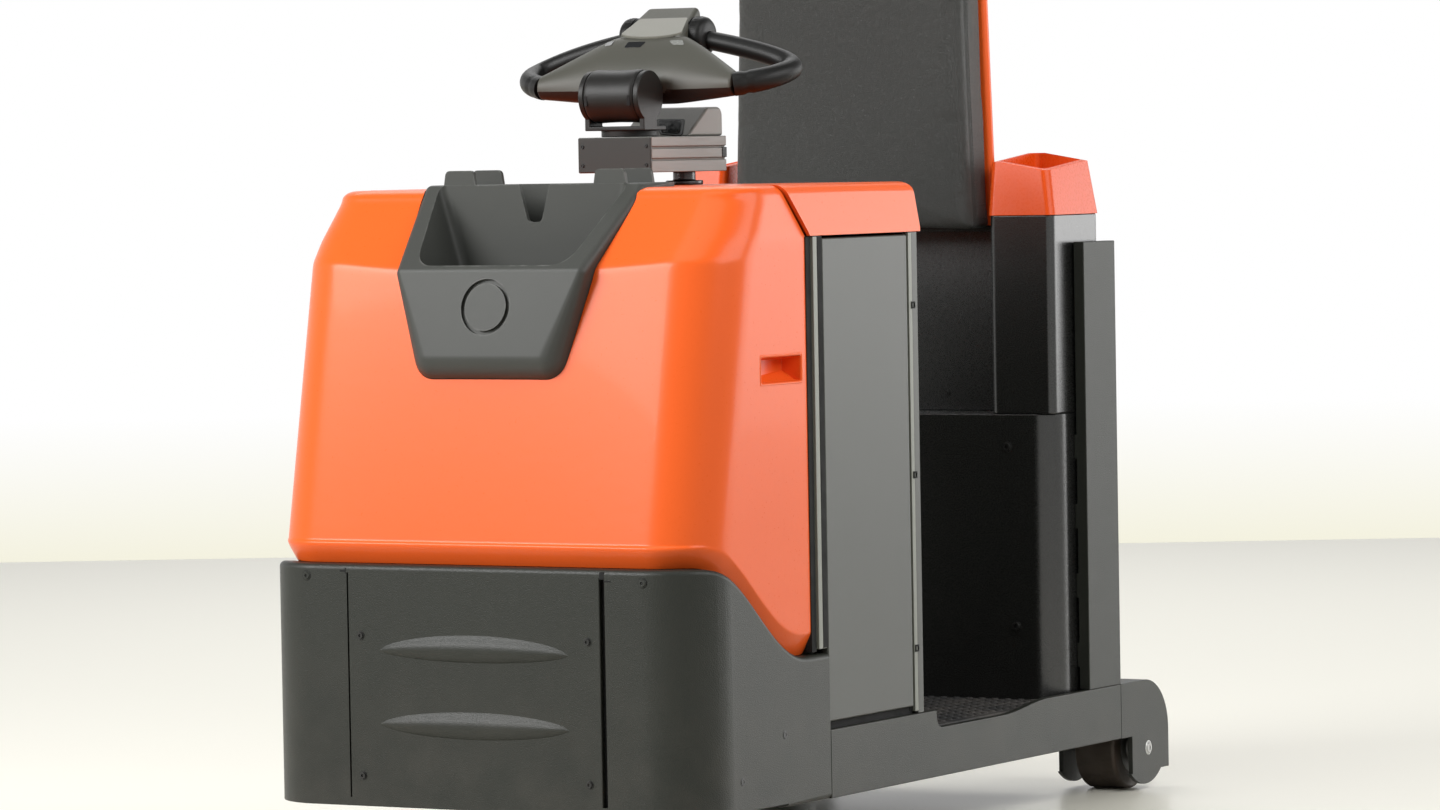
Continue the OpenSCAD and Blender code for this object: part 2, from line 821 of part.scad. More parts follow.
module hood() {
  recess_y = hood_rear - recess_back;
  color("#f26a2e") from_nose() difference() {
    union() {
      difference() {
        union() {
          intersection() {
            hood_form(0, hood_rear);
            from_side(-half_w, overall_w) above_edge(lip_h);
          }
          intersection() {
            hood_form(lip_in, hood_rear);
            from_side(-half_w, overall_w) above_edge(fit);
          }
        }
        intersection() {
          hood_form(hood_t, hood_rear + through);
          from_side(-half_w, overall_w) above_edge(lip_h + hood_t);
        }
        hood_form(lip_in + hood_t, hood_rear + through);
      }
      both_sides() translate([hood_half - recess_d - recess_wall,
                              recess_y - recess_l / 2 - recess_wall,
                              recess_z - recess_h / 2 - recess_wall])
        cube([recess_d, recess_l + 2 * recess_wall, recess_h + 2 * recess_wall]);
    }
    both_sides() translate([hood_half - recess_d, recess_y - recess_l / 2, recess_z - recess_h / 2])
      cube([recess_d + hood_inset, recess_l, recess_h]);
    tray_form(fit);
    from_side(-half_w, overall_w) behind_seam();
  }
}

// Half width between the tray's rims at a height z
function pocket_half(z) =
  let (foot = tray_half_bottom - tray_rim, fold = tray_half_crease - tray_rim_low,
       high = tray_half_top - tray_rim)
    z < crease_z ? foot + (fold - foot) * (z - pocket_floor) / (crease_z - pocket_floor)
                 : fold + (high - fold) * (z - crease_z) / (top_z - crease_z);

// Front view of the pocket between the tray's rims, from height z0 up
module pocket_outline(z0) {
  fold_z = max(z0, crease_z);
  right = [[pocket_half(z0), z0], [pocket_half(fold_z), fold_z], [pocket_half(top_z), top_z],
           [pocket_half(top_z), 2 * top_z]];
  polygon(concat(right, [for (i = [3 : -1 : 0]) [-right[i][0], right[i][1]]]));
}

// Front view of the two lugs that stand on a cross wall
module lugs() {
  for (s = [-1, 1])
    polygon([[s * lug_in, top_z], [s * (lug_in + lug_lean), lug_top],
             [s * (lug_out - lug_lean), lug_top], [s * lug_out, top_z]]);
}

module storage_tray() {
  pocket_y = tray_face(crease_z) + tray_t;
  slot_z = tray_top - slot_d;
  lean = atan((hood_lean - front_crown) / (crease_z - skirt_top));
  color("#33363a") from_nose() difference() {
    union() {
      tray_form(0);
      for (y = [pocket_y1, tray_rear - tray_t]) from_front(y, tray_t) lugs();
    }
    from_front(pocket_y, pocket_y1 - pocket_y) pocket_outline(pocket_floor);
    from_front(0, pocket_y1) pocket_outline(pocket_lip_z);
    from_front(tray_wall_y, slot_l) pocket_outline(slot_z);
    from_front(pocket_y1 - 1, tray_t + 2)
      polygon([[-vee_half, tray_top + 1], [-vee_floor_half, tray_top - vee_d],
               [vee_floor_half, tray_top - vee_d], [vee_half, tray_top + 1]]);
    translate([0, tray_face(disc_z), disc_z]) rotate([90 - lean, 0, 0])
      translate([0, 0, -disc_groove_d]) linear_extrude(2 * disc_groove_d) difference() {
        circle(d = disc_d + 2 * disc_groove);
        circle(d = disc_d);
      }
  }
}

// Front view of the battery cover, grown inwards by d
module cover_section(d) {
  hw = half_w - door_set - d;
  x = hw - side_slope - top_edge;
  z = top_z - d - top_edge;
  right = concat(
    [[hw, shoulder_z + fit], [hw, shoulder_z + hood_t]],
    [for (a = [10 : 16 : 90]) [x + top_edge * cos(a), z + top_edge * sin(a)]]);
  n = len(right);
  polygon(concat(right, [for (i = [n - 1 : -1 : 0]) [-right[i][0], right[i][1]]]));
}

// Side view of the battery cover, with its rear end grown inwards by d
module cover_side(d) {
  y0 = hood_rear + seam;
  y1 = room_y + cover_overhang - d;
  y = y1 - cover_rear_r;
  z = top_z - cover_rear_r;
  polygon(concat(
    [[y0 - seam_slant, top_z + 1], [y0 - seam_slant, top_z], [y0, shoulder_z], [y1, shoulder_z]],
    [for (a = [0 : 15 : 90]) [y + cover_rear_r * cos(a), z + cover_rear_r * sin(a)]],
    [[y, top_z + 1]]));
}

module battery_cover() {
  y0 = hood_rear - seam_slant;
  l = room_y + cover_overhang - y0 + 1;
  color("#f26a2e") from_nose() difference() {
    intersection() {
      from_front(y0, l) cover_section(0);
      from_side(-half_w, overall_w) cover_side(0);
    }
    intersection() {
      from_front(y0 - 1, l + 1) translate([0, -1]) cover_section(hood_t);
      from_side(-half_w, overall_w) translate([-1, 0]) cover_side(hood_t);
    }
  }
}

module battery_door() {
  z0 = beam_top + door_foot_gap;
  color("#5d605a") from_nose() {
    translate([door_x - door_t, door_y0, z0]) cube([door_t, door_y1 - door_y0, shoulder_z - door_gap - z0]);
    for (y = [door_y0 + peg_in, door_y1 - peg_in])
      translate([(beam_in + door_x) / 2, y, beam_top + fit]) cylinder(d = peg_d, h = door_foot_gap);
  }
}

module battery_door_left() battery_door();

module battery_door_right() mirror([1, 0, 0]) battery_door();

module battery() {
  hw = door_x - door_t - battery_gap;
  color("#303234") from_nose()
    translate([-hw, bay_y + battery_gap, bay_floor_top])
      cube([2 * hw, bay_l - 2 * battery_gap, shoulder_z - battery_head - bay_floor_top]);
}

// Plan of the tower base, grown inwards by d
module tower_plan(d) {
  r = tower_r - d;
  hw = tower_half_w - d;
  translate([-hw, tower_y + d + r]) square([2 * hw, tower_l - d - r]);
  translate([-hw + r, tower_y + d]) square([2 * (hw - r), tower_l - d]);
  for (s = [-1, 1]) translate([s * (hw - r), tower_y + d + r]) circle(r);
}

module tower_base() {
  color("#26282a") from_nose() difference() {
    translate([0, 0, floor_top]) linear_extrude(tower_top - floor_top) tower_plan(0);
    translate([0, through, floor_top - 1]) linear_extrude(tower_top - floor_top - tower_t + 1)
      tower_plan(tower_t);
  }
}

module tower_pillars() {
  color("#26282a") from_nose() translate([0, 0, tower_top]) linear_extrude(pillar_top - tower_top) {
    both_sides() round_rect(pillar_in, tower_y, pillar_w, pillar_d, pillar_r);
    translate([-pillar_in - 1, tower_y + niche_d]) square([2 * pillar_in + 2, niche_t]);
  }
}

// Cup on top of a pillar, higher at its inner and at its rear edge, with an upright inner side
module cup() {
  x0 = pillar_in - cup_lap;
  x1 = tower_half_w + cup_lap;
  y0 = tower_y - cup_lap;
  y1 = tower_y + pillar_d + cup_lap;
  t = cup_taper;
  r = pillar_r;
  deep = cup_h + cup_rise_in + cup_rise_back;
  color("#f26a2e") from_nose() difference() {
    hull() for (i = [0, 1], j = [0, 1]) {
      x = i == 0 ? x0 + r : x1 - r;
      y = j == 0 ? y0 + r : y1 - r;
      lift = (1 - i) * cup_rise_in + j * cup_rise_back;
      translate([x, y, pillar_top]) cylinder(r = r, h = 1, $fn = hull_fn);
      translate([x - i * t, y + (j == 0 ? t : -cup_back_taper), pillar_top + cup_h + lift - 1])
        cylinder(r = r, h = 1, $fn = hull_fn);
    }
    translate([0, 0, pillar_top + cup_h - cup_pocket]) linear_extrude(deep)
      round_rect(x0 + cup_wall, y0 + t + cup_wall, x1 - x0 - t - 2 * cup_wall,
                 y1 - y0 - t - cup_back_taper - 2 * cup_wall, cup_pocket_r);
  }
}

module cup_left() cup();

module cup_right() mirror([1, 0, 0]) cup();

// Front view of the backrest, grown outwards by d at its sides and top and down by drop
module backrest_outline(d, drop) {
  r = back_r;
  hw0 = pad_half_low + d;
  hw1 = pad_half_top + d;
  zt = pad_top + d;
  polygon(concat(
    [[-hw0, pad_low - drop], [hw0, pad_low - drop]],
    [for (a = [0 : 10 : 90]) [hw1 - r + r * cos(a), zt - r + r * sin(a)]],
    [for (a = [90 : 10 : 180]) [-hw1 + r + r * cos(a), zt - r + r * sin(a)]]));
}

module backrest_shell() {
  color("#f26a2e") from_nose() {
    from_front(shell_y, shell_rim) backrest_outline(shell_show, shell_show);
    from_front(shell_y, shell_t) backrest_outline(-shell_step, shell_show);
  }
}

module backrest_pad() {
  color("#2b2d2e") from_nose() from_front(pad_front, pad_t) backrest_outline(0, 0);
}

module rear_plate() {
  color("#4c4f49") from_nose() {
    translate([-beam_in, rear_y, beam_bottom]) cube([2 * beam_in, rear_plate_t, deck_z - beam_bottom]);
    translate([-tower_half_w, rear_y, deck_z]) cube([2 * tower_half_w, rear_plate_t, tower_top - deck_z]);
  }
}

module rear_post() {
  y0 = housing_y - post_w;
  spacers = 4;
  pitch = (tower_top - deck_z) / spacers;
  color("#4c4f49") from_nose() {
    translate([half_w - post_t, y0, deck_z]) cube([post_t, post_w, post_top - deck_z]);
    for (i = [0 : spacers - 1]) translate([tower_half_w, y0, deck_z + (i + 0.5) * pitch - spacer_h / 2])
      cube([half_w - post_t - tower_half_w, spacer_l, spacer_h]);
  }
}

module rear_post_left() rear_post();

module rear_post_right() mirror([1, 0, 0]) rear_post();

// Side view of a wheel housing's cheek, grown inwards by d at the top and rear
module housing_side(d) {
  y1 = truck_l - d;
  z1 = deck_z - d;
  r = housing_r - d;
  difference() {
    union() {
      translate([housing_y, housing_bottom]) square([housing_l - d - r, z1 - housing_bottom]);
      translate([y1 - r, housing_bottom]) square([r, z1 - r - housing_bottom]);
      translate([y1 - r, z1 - r]) circle(r);
    }
    translate([housing_y - 1, housing_bottom - 1])
      square([housing_step + 1, beam_bottom - housing_bottom + 1]);
  }
}

module wheel_housing() {
  color("#4c4f49") from_nose() difference() {
    from_side(cheek_x, housing_w) housing_side(0);
    from_side(cheek_x + housing_t, housing_w - 2 * housing_t) difference() {
      translate([housing_y - 1, 0]) square([housing_l + 2, deck_z - housing_t]);
      difference() {
        housing_side(0);
        housing_side(housing_t);
        translate([housing_y, 0]) square([housing_l + 1, deck_z - housing_r + roof_lap]);
      }
    }
    translate([cheek_x - 1, axle_y, rear_r]) rotate([0, 90, 0])
      cylinder(d = axle_d + 2 * run, h = housing_w + 2);
  }
}

module wheel_housing_left() wheel_housing();

module wheel_housing_right() mirror([1, 0, 0]) wheel_housing();

module rear_axle() {
  color("#8a8d8c") from_nose() translate([cheek_x, axle_y, rear_r]) rotate([0, 90, 0])
    cylinder(d = axle_d, h = housing_w);
}

module rear_axle_left() rear_axle();

module rear_axle_right() mirror([1, 0, 0]) rear_axle();

module rear_hub() {
  color("#7d807f") from_nose() translate([wheel_x, axle_y, rear_r]) rotate([0, 90, 0]) difference() {
    union() {
      translate([0, 0, -rear_w / 2]) cylinder(d = hub_d, h = rear_w);
      translate([0, 0, -rear_w / 2 - hub_sleeve])
        cylinder(d = axle_d + 2 * hub_sleeve_t, h = rear_w + 2 * hub_sleeve);
    }
    translate([0, 0, -rear_w]) cylinder(d = axle_d + 2 * run, h = 2 * rear_w);
  }
}

module rear_hub_left() rear_hub();

module rear_hub_right() mirror([1, 0, 0]) rear_hub();

// Round tread between a bore and an outside diameter, with round shoulders, axis along X
module tread(d_out, d_in, w, r) {
  rotate([0, 90, 0]) rotate_extrude($fn = 96) translate([d_in / 2, -w / 2]) union() {
    square([(d_out - d_in) / 2 - r, w]);
    translate([0, r]) square([(d_out - d_in) / 2, w - 2 * r]);
    for (s = [0, 1]) translate([(d_out - d_in) / 2 - r, r + s * (w - 2 * r)]) circle(r);
  }
}

module rear_tyre() {
  color("#3a2f28") from_nose() translate([wheel_x, axle_y, rear_r])
    tread(rear_d, hub_d + 2 * run, rear_w, rear_shoulder);
}

module rear_tyre_left() rear_tyre();

module rear_tyre_right() mirror([1, 0, 0]) rear_tyre();

module gear_case() {
  case_r = case_w / 2;
  color("#3c3f41") from_nose() translate([0, steer_y, 0]) {
    translate([0, 0, table_z]) cylinder(d = table_d, h = table_t);
    translate([0, 0, table_z + table_t]) cylinder(d = neck_d, h = mount_t + 2 * fit);
    translate([gear_x, 0, drive_r]) rotate([0, 90, 0]) cylinder(r = case_r, h = gear_t);
    translate([gear_x, -case_r, drive_r]) cube([gear_t, case_w, table_z - drive_r]);
    translate([-drive_w / 2, 0, drive_r]) rotate([0, 90, 0])
      cylinder(d = drive_axle_d, h = drive_w / 2 + gear_x);
  }
}

module drive_motor() {
  z0 = mount_z + mount_t + fit;
  color("#55585a") from_nose() translate([0, steer_y, z0]) cylinder(d = motor_d, h = motor_h);
}

module drive_hub() {
  color("#7d807f") from_nose() translate([0, steer_y, drive_r]) rotate([0, 90, 0]) difference() {
    translate([0, 0, -drive_w / 2]) cylinder(d = drive_hub_d, h = drive_w);
    translate([0, 0, -drive_w]) cylinder(d = drive_axle_d + 2 * run, h = 2 * drive_w);
  }
}

module drive_tyre() {
  color("#2c2724") from_nose() translate([0, steer_y, drive_r])
    tread(drive_d, drive_hub_d + 2 * run, drive_w, drive_shoulder);
}

module steering_column() {
  color("#1c1d1e") from_nose() translate([0, column_y, top_z]) {
    cylinder(d = column_foot_d, h = column_foot_t);
    cylinder(d = column_d, h = beam_lift);
  }
}

module console_beam() {
  groove = console_groove;
  color("#7b7c78") from_nose() difference() {
    translate([-console_w / 2, console_y0, console_z]) cube([console_w, console_l, console_h]);
    both_sides() for (k = [1, 2])
      translate([console_w / 2 - groove, console_y0 - 1, console_z + k * console_h / 3])
        cube([groove + 1, console_l + 2, groove]);
  }
}

module display_housing() {
  y0 = console_y1 - display_l;
  z1 = console_top + display_h;
  r = display_r;
  color("#85868a") from_nose() from_side(-console_w / 2 + display_in, console_w - 2 * display_in)
    polygon(concat(
      [[y0, console_top], [console_y1, console_top]],
      [for (a = [0 : 15 : 90]) [console_y1 - r + r * cos(a), z1 - r + r * sin(a)]],
      [[console_y1 - display_flat, z1]]));
}

module swivel_neck() {
  cheek_r = barrel_d / 2 - 2;
  shaft_l = barrel_l + 2 * barrel_cheek + 2 * fit;
  bridge_z = console_top + fit + swivel_t;
  bridge_t = tilt_z - barrel_d / 2 - barrel_gap - bridge_z;
  color("#1c1d1e") from_nose() {
    translate([0, swivel_y, console_top + fit]) cylinder(d = swivel_d, h = swivel_t);
    translate([-shaft_l / 2, tilt_y, tilt_z]) rotate([0, 90, 0]) cylinder(d = tilt_shaft_d, h = shaft_l);
    translate([-shaft_l / 2, tilt_y - cheek_r / 2, bridge_z])
      cube([shaft_l, swivel_y - tilt_y + cheek_r, bridge_t]);
    both_sides() translate([barrel_l / 2 + fit, tilt_y, tilt_z]) {
      rotate([0, 90, 0]) cylinder(r = cheek_r, h = barrel_cheek);
      translate([0, -cheek_r / 2, bridge_z - tilt_z]) cube([barrel_cheek, cheek_r, tilt_z - bridge_z]);
    }
  }
}

// Places its children in the handle's own plane, with its origin on the tilt axis
module handle_plane() {
  from_nose() translate([0, tilt_y, tilt_z]) rotate([handle_rise, 0, 0]) children();
}

module handle_barrel() {
  color("#1c1d1e") from_nose() translate([-barrel_l / 2, tilt_y, tilt_z]) rotate([0, 90, 0]) difference() {
    cylinder(d = barrel_d, h = barrel_l);
    translate([0, 0, -1]) cylinder(d = tilt_shaft_d + 2 * run, h = barrel_l + 2);
  }
}

module ball(p, r) {
  translate(p) sphere(r, $fn = hull_fn);
}

// Wing and pod of the handle. A wide hull rises from the wing's tips to the face of the pod.
module handle_body() {
  front_y = barrel_d / 2 + wing_start;
  brow_x = pod_top_half_w - pod_r;
  face_x = pod_half_w - pod_r;
  color("#6d6c68") handle_plane() difference() {
    union() {
      hull() {
        for (s = [-1, 1]) {
          ball([s * (wing_half_w - wing_tip_r), wing_back, 0], wing_tip_r);
          ball([s * face_x, pod_face, pod_face_rise - pod_r], pod_r);
        }
        ball([0, front_y, 0], wing_r);
        ball([0, front_y + wing_mid, wing_rise], wing_r);
      }
      hull() for (s = [-1, 1]) {
        ball([s * face_x, pod_face, pod_face_rise - pod_r], pod_r);
        ball([s * brow_x, pod_brow, pod_brow_rise - pod_r], pod_r);
        ball([s * brow_x, pod_back - pod_r, pod_rise - pod_r], pod_r);
        ball([s * brow_x, pod_back - 2 * pod_r, rocker_z - pod_r], pod_r);
        ball([s * brow_x, pod_face, wing_rise], pod_r);
      }
    }
    translate([-barrel_l, 0, 0]) rotate([0, 90, 0]) cylinder(d = barrel_d + 2 * fit, h = 2 * barrel_l);
    both_sides() translate([barrel_l / 2 - fit, 0, 0]) rotate([0, 90, 0])
      cylinder(d = barrel_d + 2 * cheek_room, h = barrel_cheek + 2 * fit + cheek_room);
  }
}

// Point at share t along a curve from a to d that is pulled towards b and c
function curve(a, b, c, d, t) =
  pow(1 - t, 3) * a + 3 * t * pow(1 - t, 2) * b + 3 * t * t * (1 - t) * c + pow(t, 3) * d;

// Points along one grip in the handle's plane, from the rocker round to the wing tip
grip_start = [rocker_x + rocker_w - grip_sink, rocker_y, rocker_z - grip_sink];
grip_bend = [handle_half_w - (grip_d + grip_root_d) / 4, grip_back, 0];
grip_end = [wing_half_w - grip_sink, wing_back, 0];
grip_steps = 10;
grip_path = concat(
  [for (i = [0 : grip_steps - 1])
    curve(grip_start, grip_start + [grip_pull_out, -grip_sink, -grip_pull_tip / 2],
          grip_bend + [0, grip_pull_side, 0], grip_bend, i / grip_steps)],
  [for (i = [0 : grip_steps])
    curve(grip_bend, grip_bend - [0, grip_pull_side, 0],
          grip_end + [grip_pull_tip, grip_pull_tip / 2, 0], grip_end, i / grip_steps)]);

// Unit vector along the path at point i
function path_dir(p, i) =
  let (a = p[max(i - 1, 0)], b = p[min(i + 1, len(p) - 1)]) (b - a) / norm(b - a);

// Round tube swept along points p as one closed solid, from radius r0 to r1
module tube(p, r0, r1, sides) {
  n = len(p);
  rings = [for (i = [0 : n - 1])
    let (d = path_dir(p, i), u = cross(d, [0, 0, 1]), a = u / norm(u), b = cross(d, a),
         r = r0 + (r1 - r0) * i / (n - 1))
      for (k = [0 : sides - 1]) p[i] + r * (cos(360 * k / sides) * a + sin(360 * k / sides) * b)];
  walls = [for (i = [0 : n - 2], k = [0 : sides - 1])
    let (m = (k + 1) % sides) [i * sides + k, (i + 1) * sides + k, (i + 1) * sides + m, i * sides + m]];
  ends = [[for (k = [0 : sides - 1]) k], [for (k = [sides - 1 : -1 : 0]) (n - 1) * sides + k]];
  polyhedron(rings, concat(walls, ends));
}

module handle_grips() {
  color("#1c1d1e") handle_plane() both_sides() {
    tube(grip_path, grip_d / 2, grip_root_d / 2, 20);
    translate([rocker_x, rocker_y, rocker_z]) rotate([0, 90, 0]) cylinder(d = rocker_d, h = rocker_w);
  }
}

// Place of the parked tow pin
ear_y = housing_y + ear_l / 2;
ear_x = jaw_w / 2 + ear_w / 2;

module tow_jaw() {
  mouth = jaw_gap / 2;
  round_r = jaw_w / 2;
  bore_y = housing_y + jaw_l - round_r;
  z0 = jaw_z - mouth - jaw_t;
  h = jaw_gap + 2 * jaw_t;
  color("#3c3f41") from_nose() difference() {
    union() {
      for (z = [z0, jaw_z + mouth]) translate([0, 0, z]) linear_extrude(jaw_t) {
        translate([-round_r, housing_y]) square([jaw_w, jaw_l - round_r]);
        translate([0, bore_y]) circle(round_r);
      }
      translate([-round_r, housing_y, z0]) cube([jaw_w, jaw_root, h]);
      translate([round_r, housing_y, z0]) cube([ear_w, ear_l, jaw_t]);
    }
    translate([0, bore_y, z0 - 1]) cylinder(d = tow_bore_d, h = h + 2);
    translate([ear_x, ear_y, z0 - 1]) cylinder(d = tow_pin_d + 2 * run, h = jaw_t + 2);
  }
}

module tow_pin() {
  head_d = tow_pin_d + 2 * collar;
  seat_z = jaw_z - jaw_gap / 2;
  z0 = seat_z - jaw_t - pin_below;
  color("#a3a6a5") from_nose() translate([ear_x, ear_y, 0]) {
    translate([0, 0, z0]) cylinder(d = tow_pin_d, h = tow_pin_l);
    translate([0, 0, seat_z]) cylinder(d = head_d, h = collar_t);
    translate([0, 0, z0 + tow_pin_l - collar_t]) cylinder(d = head_d, h = collar_t);
  }
}

nose_skirt();
skirt_cover();
side_beam_left();
side_beam_right();
bay_floor();
front_bulkhead();
rear_bulkhead();
platform_floor();
platform_mat();
drive_mount();
hood();
storage_tray();
battery_cover();
battery_door_left();
battery_door_right();
battery();
tower_base();
tower_pillars();
cup_left();
cup_right();
backrest_shell();
backrest_pad();
rear_plate();
rear_post_left();
rear_post_right();
wheel_housing_left();
wheel_housing_right();
rear_axle_left();
rear_axle_right();
rear_hub_left();
rear_hub_right();
rear_tyre_left();
rear_tyre_right();
gear_case();
drive_motor();
drive_hub();
drive_tyre();
steering_column();
console_beam();
display_housing();
swivel_neck();
handle_barrel();
handle_body();
handle_grips();
tow_jaw();
tow_pin();
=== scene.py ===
"""Looks of an electric stand-in tow tractor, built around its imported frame.

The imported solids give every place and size. This script rounds their edges, rebuilds the hood as one
smooth surface, stuffs the backrest pad, adds the small hardware and gives each surface its finish.
"""

import json
import logging
import math
from dataclasses import dataclass, field
from enum import Enum
from typing import Callable, Iterable, Optional, Sequence

import bmesh
import bpy
from mathutils import Matrix, Vector
from mathutils.bvhtree import BVHTree


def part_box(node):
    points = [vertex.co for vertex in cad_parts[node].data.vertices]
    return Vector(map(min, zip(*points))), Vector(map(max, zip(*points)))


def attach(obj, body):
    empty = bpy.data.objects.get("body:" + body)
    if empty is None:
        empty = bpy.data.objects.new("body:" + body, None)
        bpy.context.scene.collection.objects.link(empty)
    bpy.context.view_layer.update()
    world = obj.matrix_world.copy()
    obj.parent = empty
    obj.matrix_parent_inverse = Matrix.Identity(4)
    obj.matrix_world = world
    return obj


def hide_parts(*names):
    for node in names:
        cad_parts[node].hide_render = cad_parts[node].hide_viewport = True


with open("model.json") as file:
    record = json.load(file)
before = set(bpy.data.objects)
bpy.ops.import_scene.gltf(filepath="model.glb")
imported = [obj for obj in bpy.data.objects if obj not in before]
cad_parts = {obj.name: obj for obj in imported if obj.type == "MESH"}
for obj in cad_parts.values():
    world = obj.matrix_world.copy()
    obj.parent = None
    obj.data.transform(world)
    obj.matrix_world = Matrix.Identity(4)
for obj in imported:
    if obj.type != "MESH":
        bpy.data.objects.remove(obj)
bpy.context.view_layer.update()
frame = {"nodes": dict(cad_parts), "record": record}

log = logging.getLogger("tow_tractor")

MM = 0.001
NOSE_Y = -784.0
WELD = 2e-5

Pair = tuple[float, float]
Point = tuple[float, float, float]
Colour = tuple[float, float, float]
BMesh = bmesh.types.BMesh
Node, NodeSocket, NodeTree = bpy.types.Node, bpy.types.NodeSocket, bpy.types.NodeTree
Object = bpy.types.Object


def at(x: float, s: float, z: float) -> Vector:
    """Place in metres of a point given in millimetres, with s measured rearwards from the nose.

    Args:
        x: distance to the truck's left of its middle.
        s: distance behind the front of the nose.
        z: height above the ground.

    Returns:
        The same point in the frame's own coordinates.
    """
    return Vector((x * MM, (s + NOSE_Y) * MM, z * MM))


def mix(a: float, b: float, t: float) -> float:
    """Value at share t of the way from a to b."""
    return a + (b - a) * t


class Grain(Enum):
    """Fine relief of a surface."""

    PEEL = "gloss_peel"
    STIPPLE = "paint_stipple"
    SPARK = "moulding_spark"
    LEATHER = "leather_grain"
    BRUSHED = "brushed_lines"
    CAST = "cast_skin"


class Graph:
    """Short way to place and join nodes in one node tree."""

    def __init__(self, tree: NodeTree) -> None:
        """Takes the tree that the nodes go into."""
        self.tree = tree

    def add(self, kind: str, inputs: Optional[dict] = None, **props: object) -> Node:
        """Places a node.

        Args:
            kind: the node's type name.
            inputs: values or sockets for its inputs, by name or number.
            props: the node's own settings.

        Returns:
            The new node.
        """
        node = self.tree.nodes.new(kind)
        for key, value in props.items():
            setattr(node, key, value)
        for key, value in (inputs or {}).items():
            self.feed(node.inputs[key], value)
        return node

    def out(self, kind: str, inputs: Optional[dict] = None, **props: object) -> NodeSocket:
        """First output of a new node, which add places."""
        return self.add(kind, inputs, **props).outputs[0]

    def feed(self, socket: NodeSocket, value: object) -> None:
        """Sets a socket to a value, or joins it to another socket.

        Args:
            socket: the socket to set.
            value: a plain value or the socket to join.
        """
        if isinstance(value, NodeSocket):
            self.tree.links.new(value, socket)
        else:
            socket.default_value = value

    def math(self, operation: str, a: object, b: object = 0.0, clamp: bool = False) -> NodeSocket:
        """Result of a Math node on a and b."""
        return self.out("ShaderNodeMath", {0: a, 1: b}, operation=operation, use_clamp=clamp)

    def times(self, a: object, b: object) -> NodeSocket:
        """Product of a and b."""
        return self.math("MULTIPLY", a, b)

    def blend(self, share: object, a: object, b: object) -> NodeSocket:
        """Colour between a and b by a share.

        Args:
            share: 0 gives a, 1 gives b.
            a: the first colour or its socket.
            b: the second colour or its socket.

        Returns:
            The colour's socket.
        """
        node = self.add("ShaderNodeMix", data_type="RGBA", clamp_factor=True)
        self.feed(node.inputs[0], share)
        self.feed(node.inputs[6], a)
        self.feed(node.inputs[7], b)
        return node.outputs[2]

    def ramp(self, value: object, low: float, high: float, out_low: float = 0.0,
             out_high: float = 1.0) -> NodeSocket:
        """Value stretched from one range to another, kept within it."""
        return self.out("ShaderNodeMapRange", {0: value, 1: low, 2: high, 3: out_low, 4: out_high})


def new_group(name: str, inputs: Sequence[tuple[str, str]],
              outputs: Sequence[str]) -> tuple[Graph, dict, Node]:
    """Starts a shader group with named sockets.

    Args:
        name: the group's name.
        inputs: each input's name and socket type.
        outputs: the names of its value outputs.

    Returns:
        Its graph, its input sockets by name and its output node.
    """
    tree = bpy.data.node_groups.new(name, "ShaderNodeTree")
    for label, kind in inputs:
        tree.interface.new_socket(label, in_out="INPUT", socket_type=kind)
    for label in outputs:
        tree.interface.new_socket(label, in_out="OUTPUT", socket_type="NodeSocketFloat")
    graph = Graph(tree)
    start = graph.add("NodeGroupInput")
    return graph, {s.name: s for s in start.outputs}, graph.add("NodeGroupOutput")


VECTOR, VALUE = "NodeSocketVector", "NodeSocketFloat"


